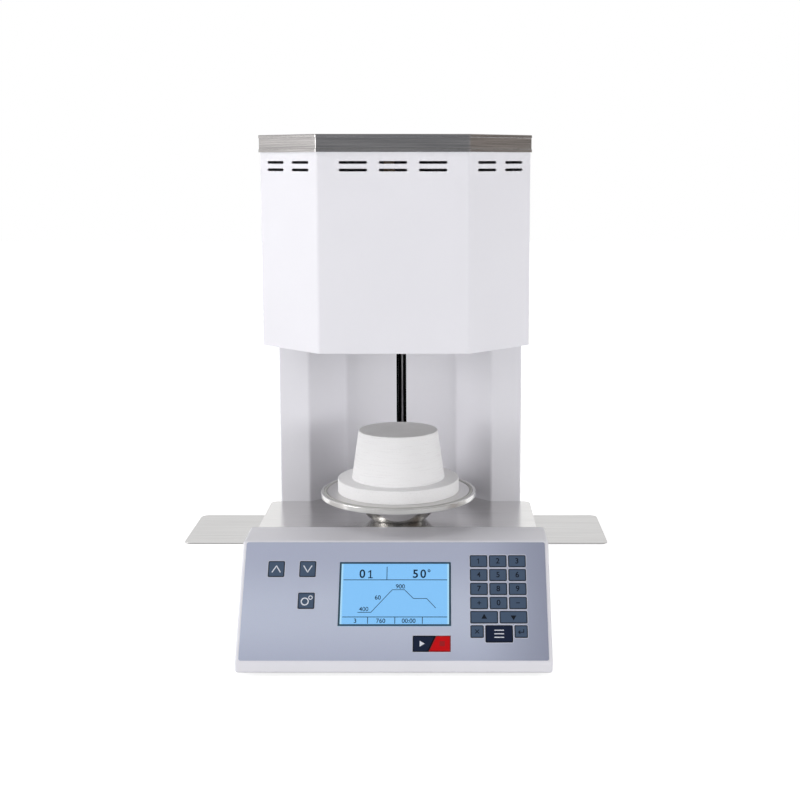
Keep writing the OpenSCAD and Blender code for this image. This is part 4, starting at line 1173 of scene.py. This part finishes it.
def makeFloor():
    # pale paper; further out it is as white as the background, so no edge shows
    startClean()
    bpy.ops.mesh.primitive_plane_add(size=studio["floor"], location=(0, 0, studio["drop"]))
    floor = settle("studioFloor")
    material, tree, coords = newMaterial("paleStudioPaper")
    paper = addNode(tree, "TexNoise", {"Scale": 3, "Detail": 2}, {"Vector": coords})
    shade = addNode(tree, "Mix", {
        "data_type": "RGBA", 6: linear("#FAFAFA"), 7: linear("#F6F6F6")}, {0: paper})
    matt = addNode(tree, "BsdfDiffuse", {}, {"Color": shade.outputs[2]})
    reach = addNode(tree, "VectorMath", {"operation": "LENGTH"}, {0: coords})
    start, end = studio["clearing"]
    fade = addNode(tree, "MapRange", {
        "interpolation_type": "SMOOTHSTEP", "From Min": start, "From Max": end,
        "To Min": studio["nearest"], "To Max": 1}, {"Value": reach.outputs["Value"]})
    place = addNode(tree, "SeparateXYZ", {}, {0: coords})
    seen = addNode(tree, "Math", {"operation": "MULTIPLY"}, {
        0: whiteShare(tree, place.outputs["Y"], *studio["floorBehind"]), 1: fade})
    lit = addNode(tree, "Emission", {"Color": (1, 1, 1, 1)}, {"Strength": seen})
    both = addNode(tree, "AddShader", {}, {0: matt, 1: lit})
    addNode(tree, "OutputMaterial", {}, {"Surface": both})
    floor.data.materials.append(material)


def wallLight(tree, axes, levels):
    # soft light of a room whose walls differ in colour, summed over its sides
    total = None
    for side, axis, sign in (("front", "Y", -1), ("back", "Y", 1), ("left", "X", -1),
                             ("right", "X", 1), ("up", "Z", 1)):
        facing = addNode(tree, "Math", {
            "operation": "MULTIPLY", 1: sign, "use_clamp": True}, {0: axes.outputs[axis]})
        lobe = addNode(tree, "Math", {"operation": "POWER", 1: 2}, {0: facing})
        share = addNode(tree, "VectorMath", {
            "operation": "SCALE", 0: linear(levels[side])[:3]}, {"Scale": lobe})
        if total:
            share = addNode(tree, "VectorMath", {"operation": "ADD"}, {0: total, 1: share})
        total = share
    return total


def makeWorld():
    world = bpy.data.worlds.new("studioRoom")
    bpy.context.scene.world = world
    world.use_nodes = True
    tree = world.node_tree
    tree.nodes.clear()
    way = addNode(tree, "TexCoord").outputs["Generated"]
    axes = addNode(tree, "SeparateXYZ", {}, {0: way})
    walls = addNode(tree, "Mix", {"data_type": "RGBA"}, {
        0: shinyRays(tree)[1], 6: wallLight(tree, axes, room), 7: wallLight(tree, axes, mirrored)})
    colour = addNode(tree, "Mix", {"data_type": "RGBA", 7: (1, 1, 1, 1)}, {
        0: whiteShare(tree, axes.outputs["Y"], *studio["roomBehind"]), 6: walls.outputs[2]})
    sky = addNode(tree, "Background", {"Strength": 1}, {"Color": colour.outputs[2]})
    addNode(tree, "OutputWorld", {}, {0: sky})


def makeLight():
    for name, (place, size, power, mirrors) in studio["lamps"].items():
        startClean()
        bpy.ops.object.light_add(type="AREA", location=place)
        lamp = bpy.context.object
        lamp.name = name
        lamp.data.shape = "RECTANGLE"
        lamp.data.size, lamp.data.size_y = size
        lamp.data.energy = power
        lamp.visible_glossy = mirrors
        facing = Vector(studio["aim"]) - Vector(place)
        lamp.rotation_euler = facing.to_track_quat("-Z", "Y").to_euler()


makeFloor()
makeWorld()
makeLight()
bpy.context.scene.view_settings.view_transform = "Standard"
print("studio made")
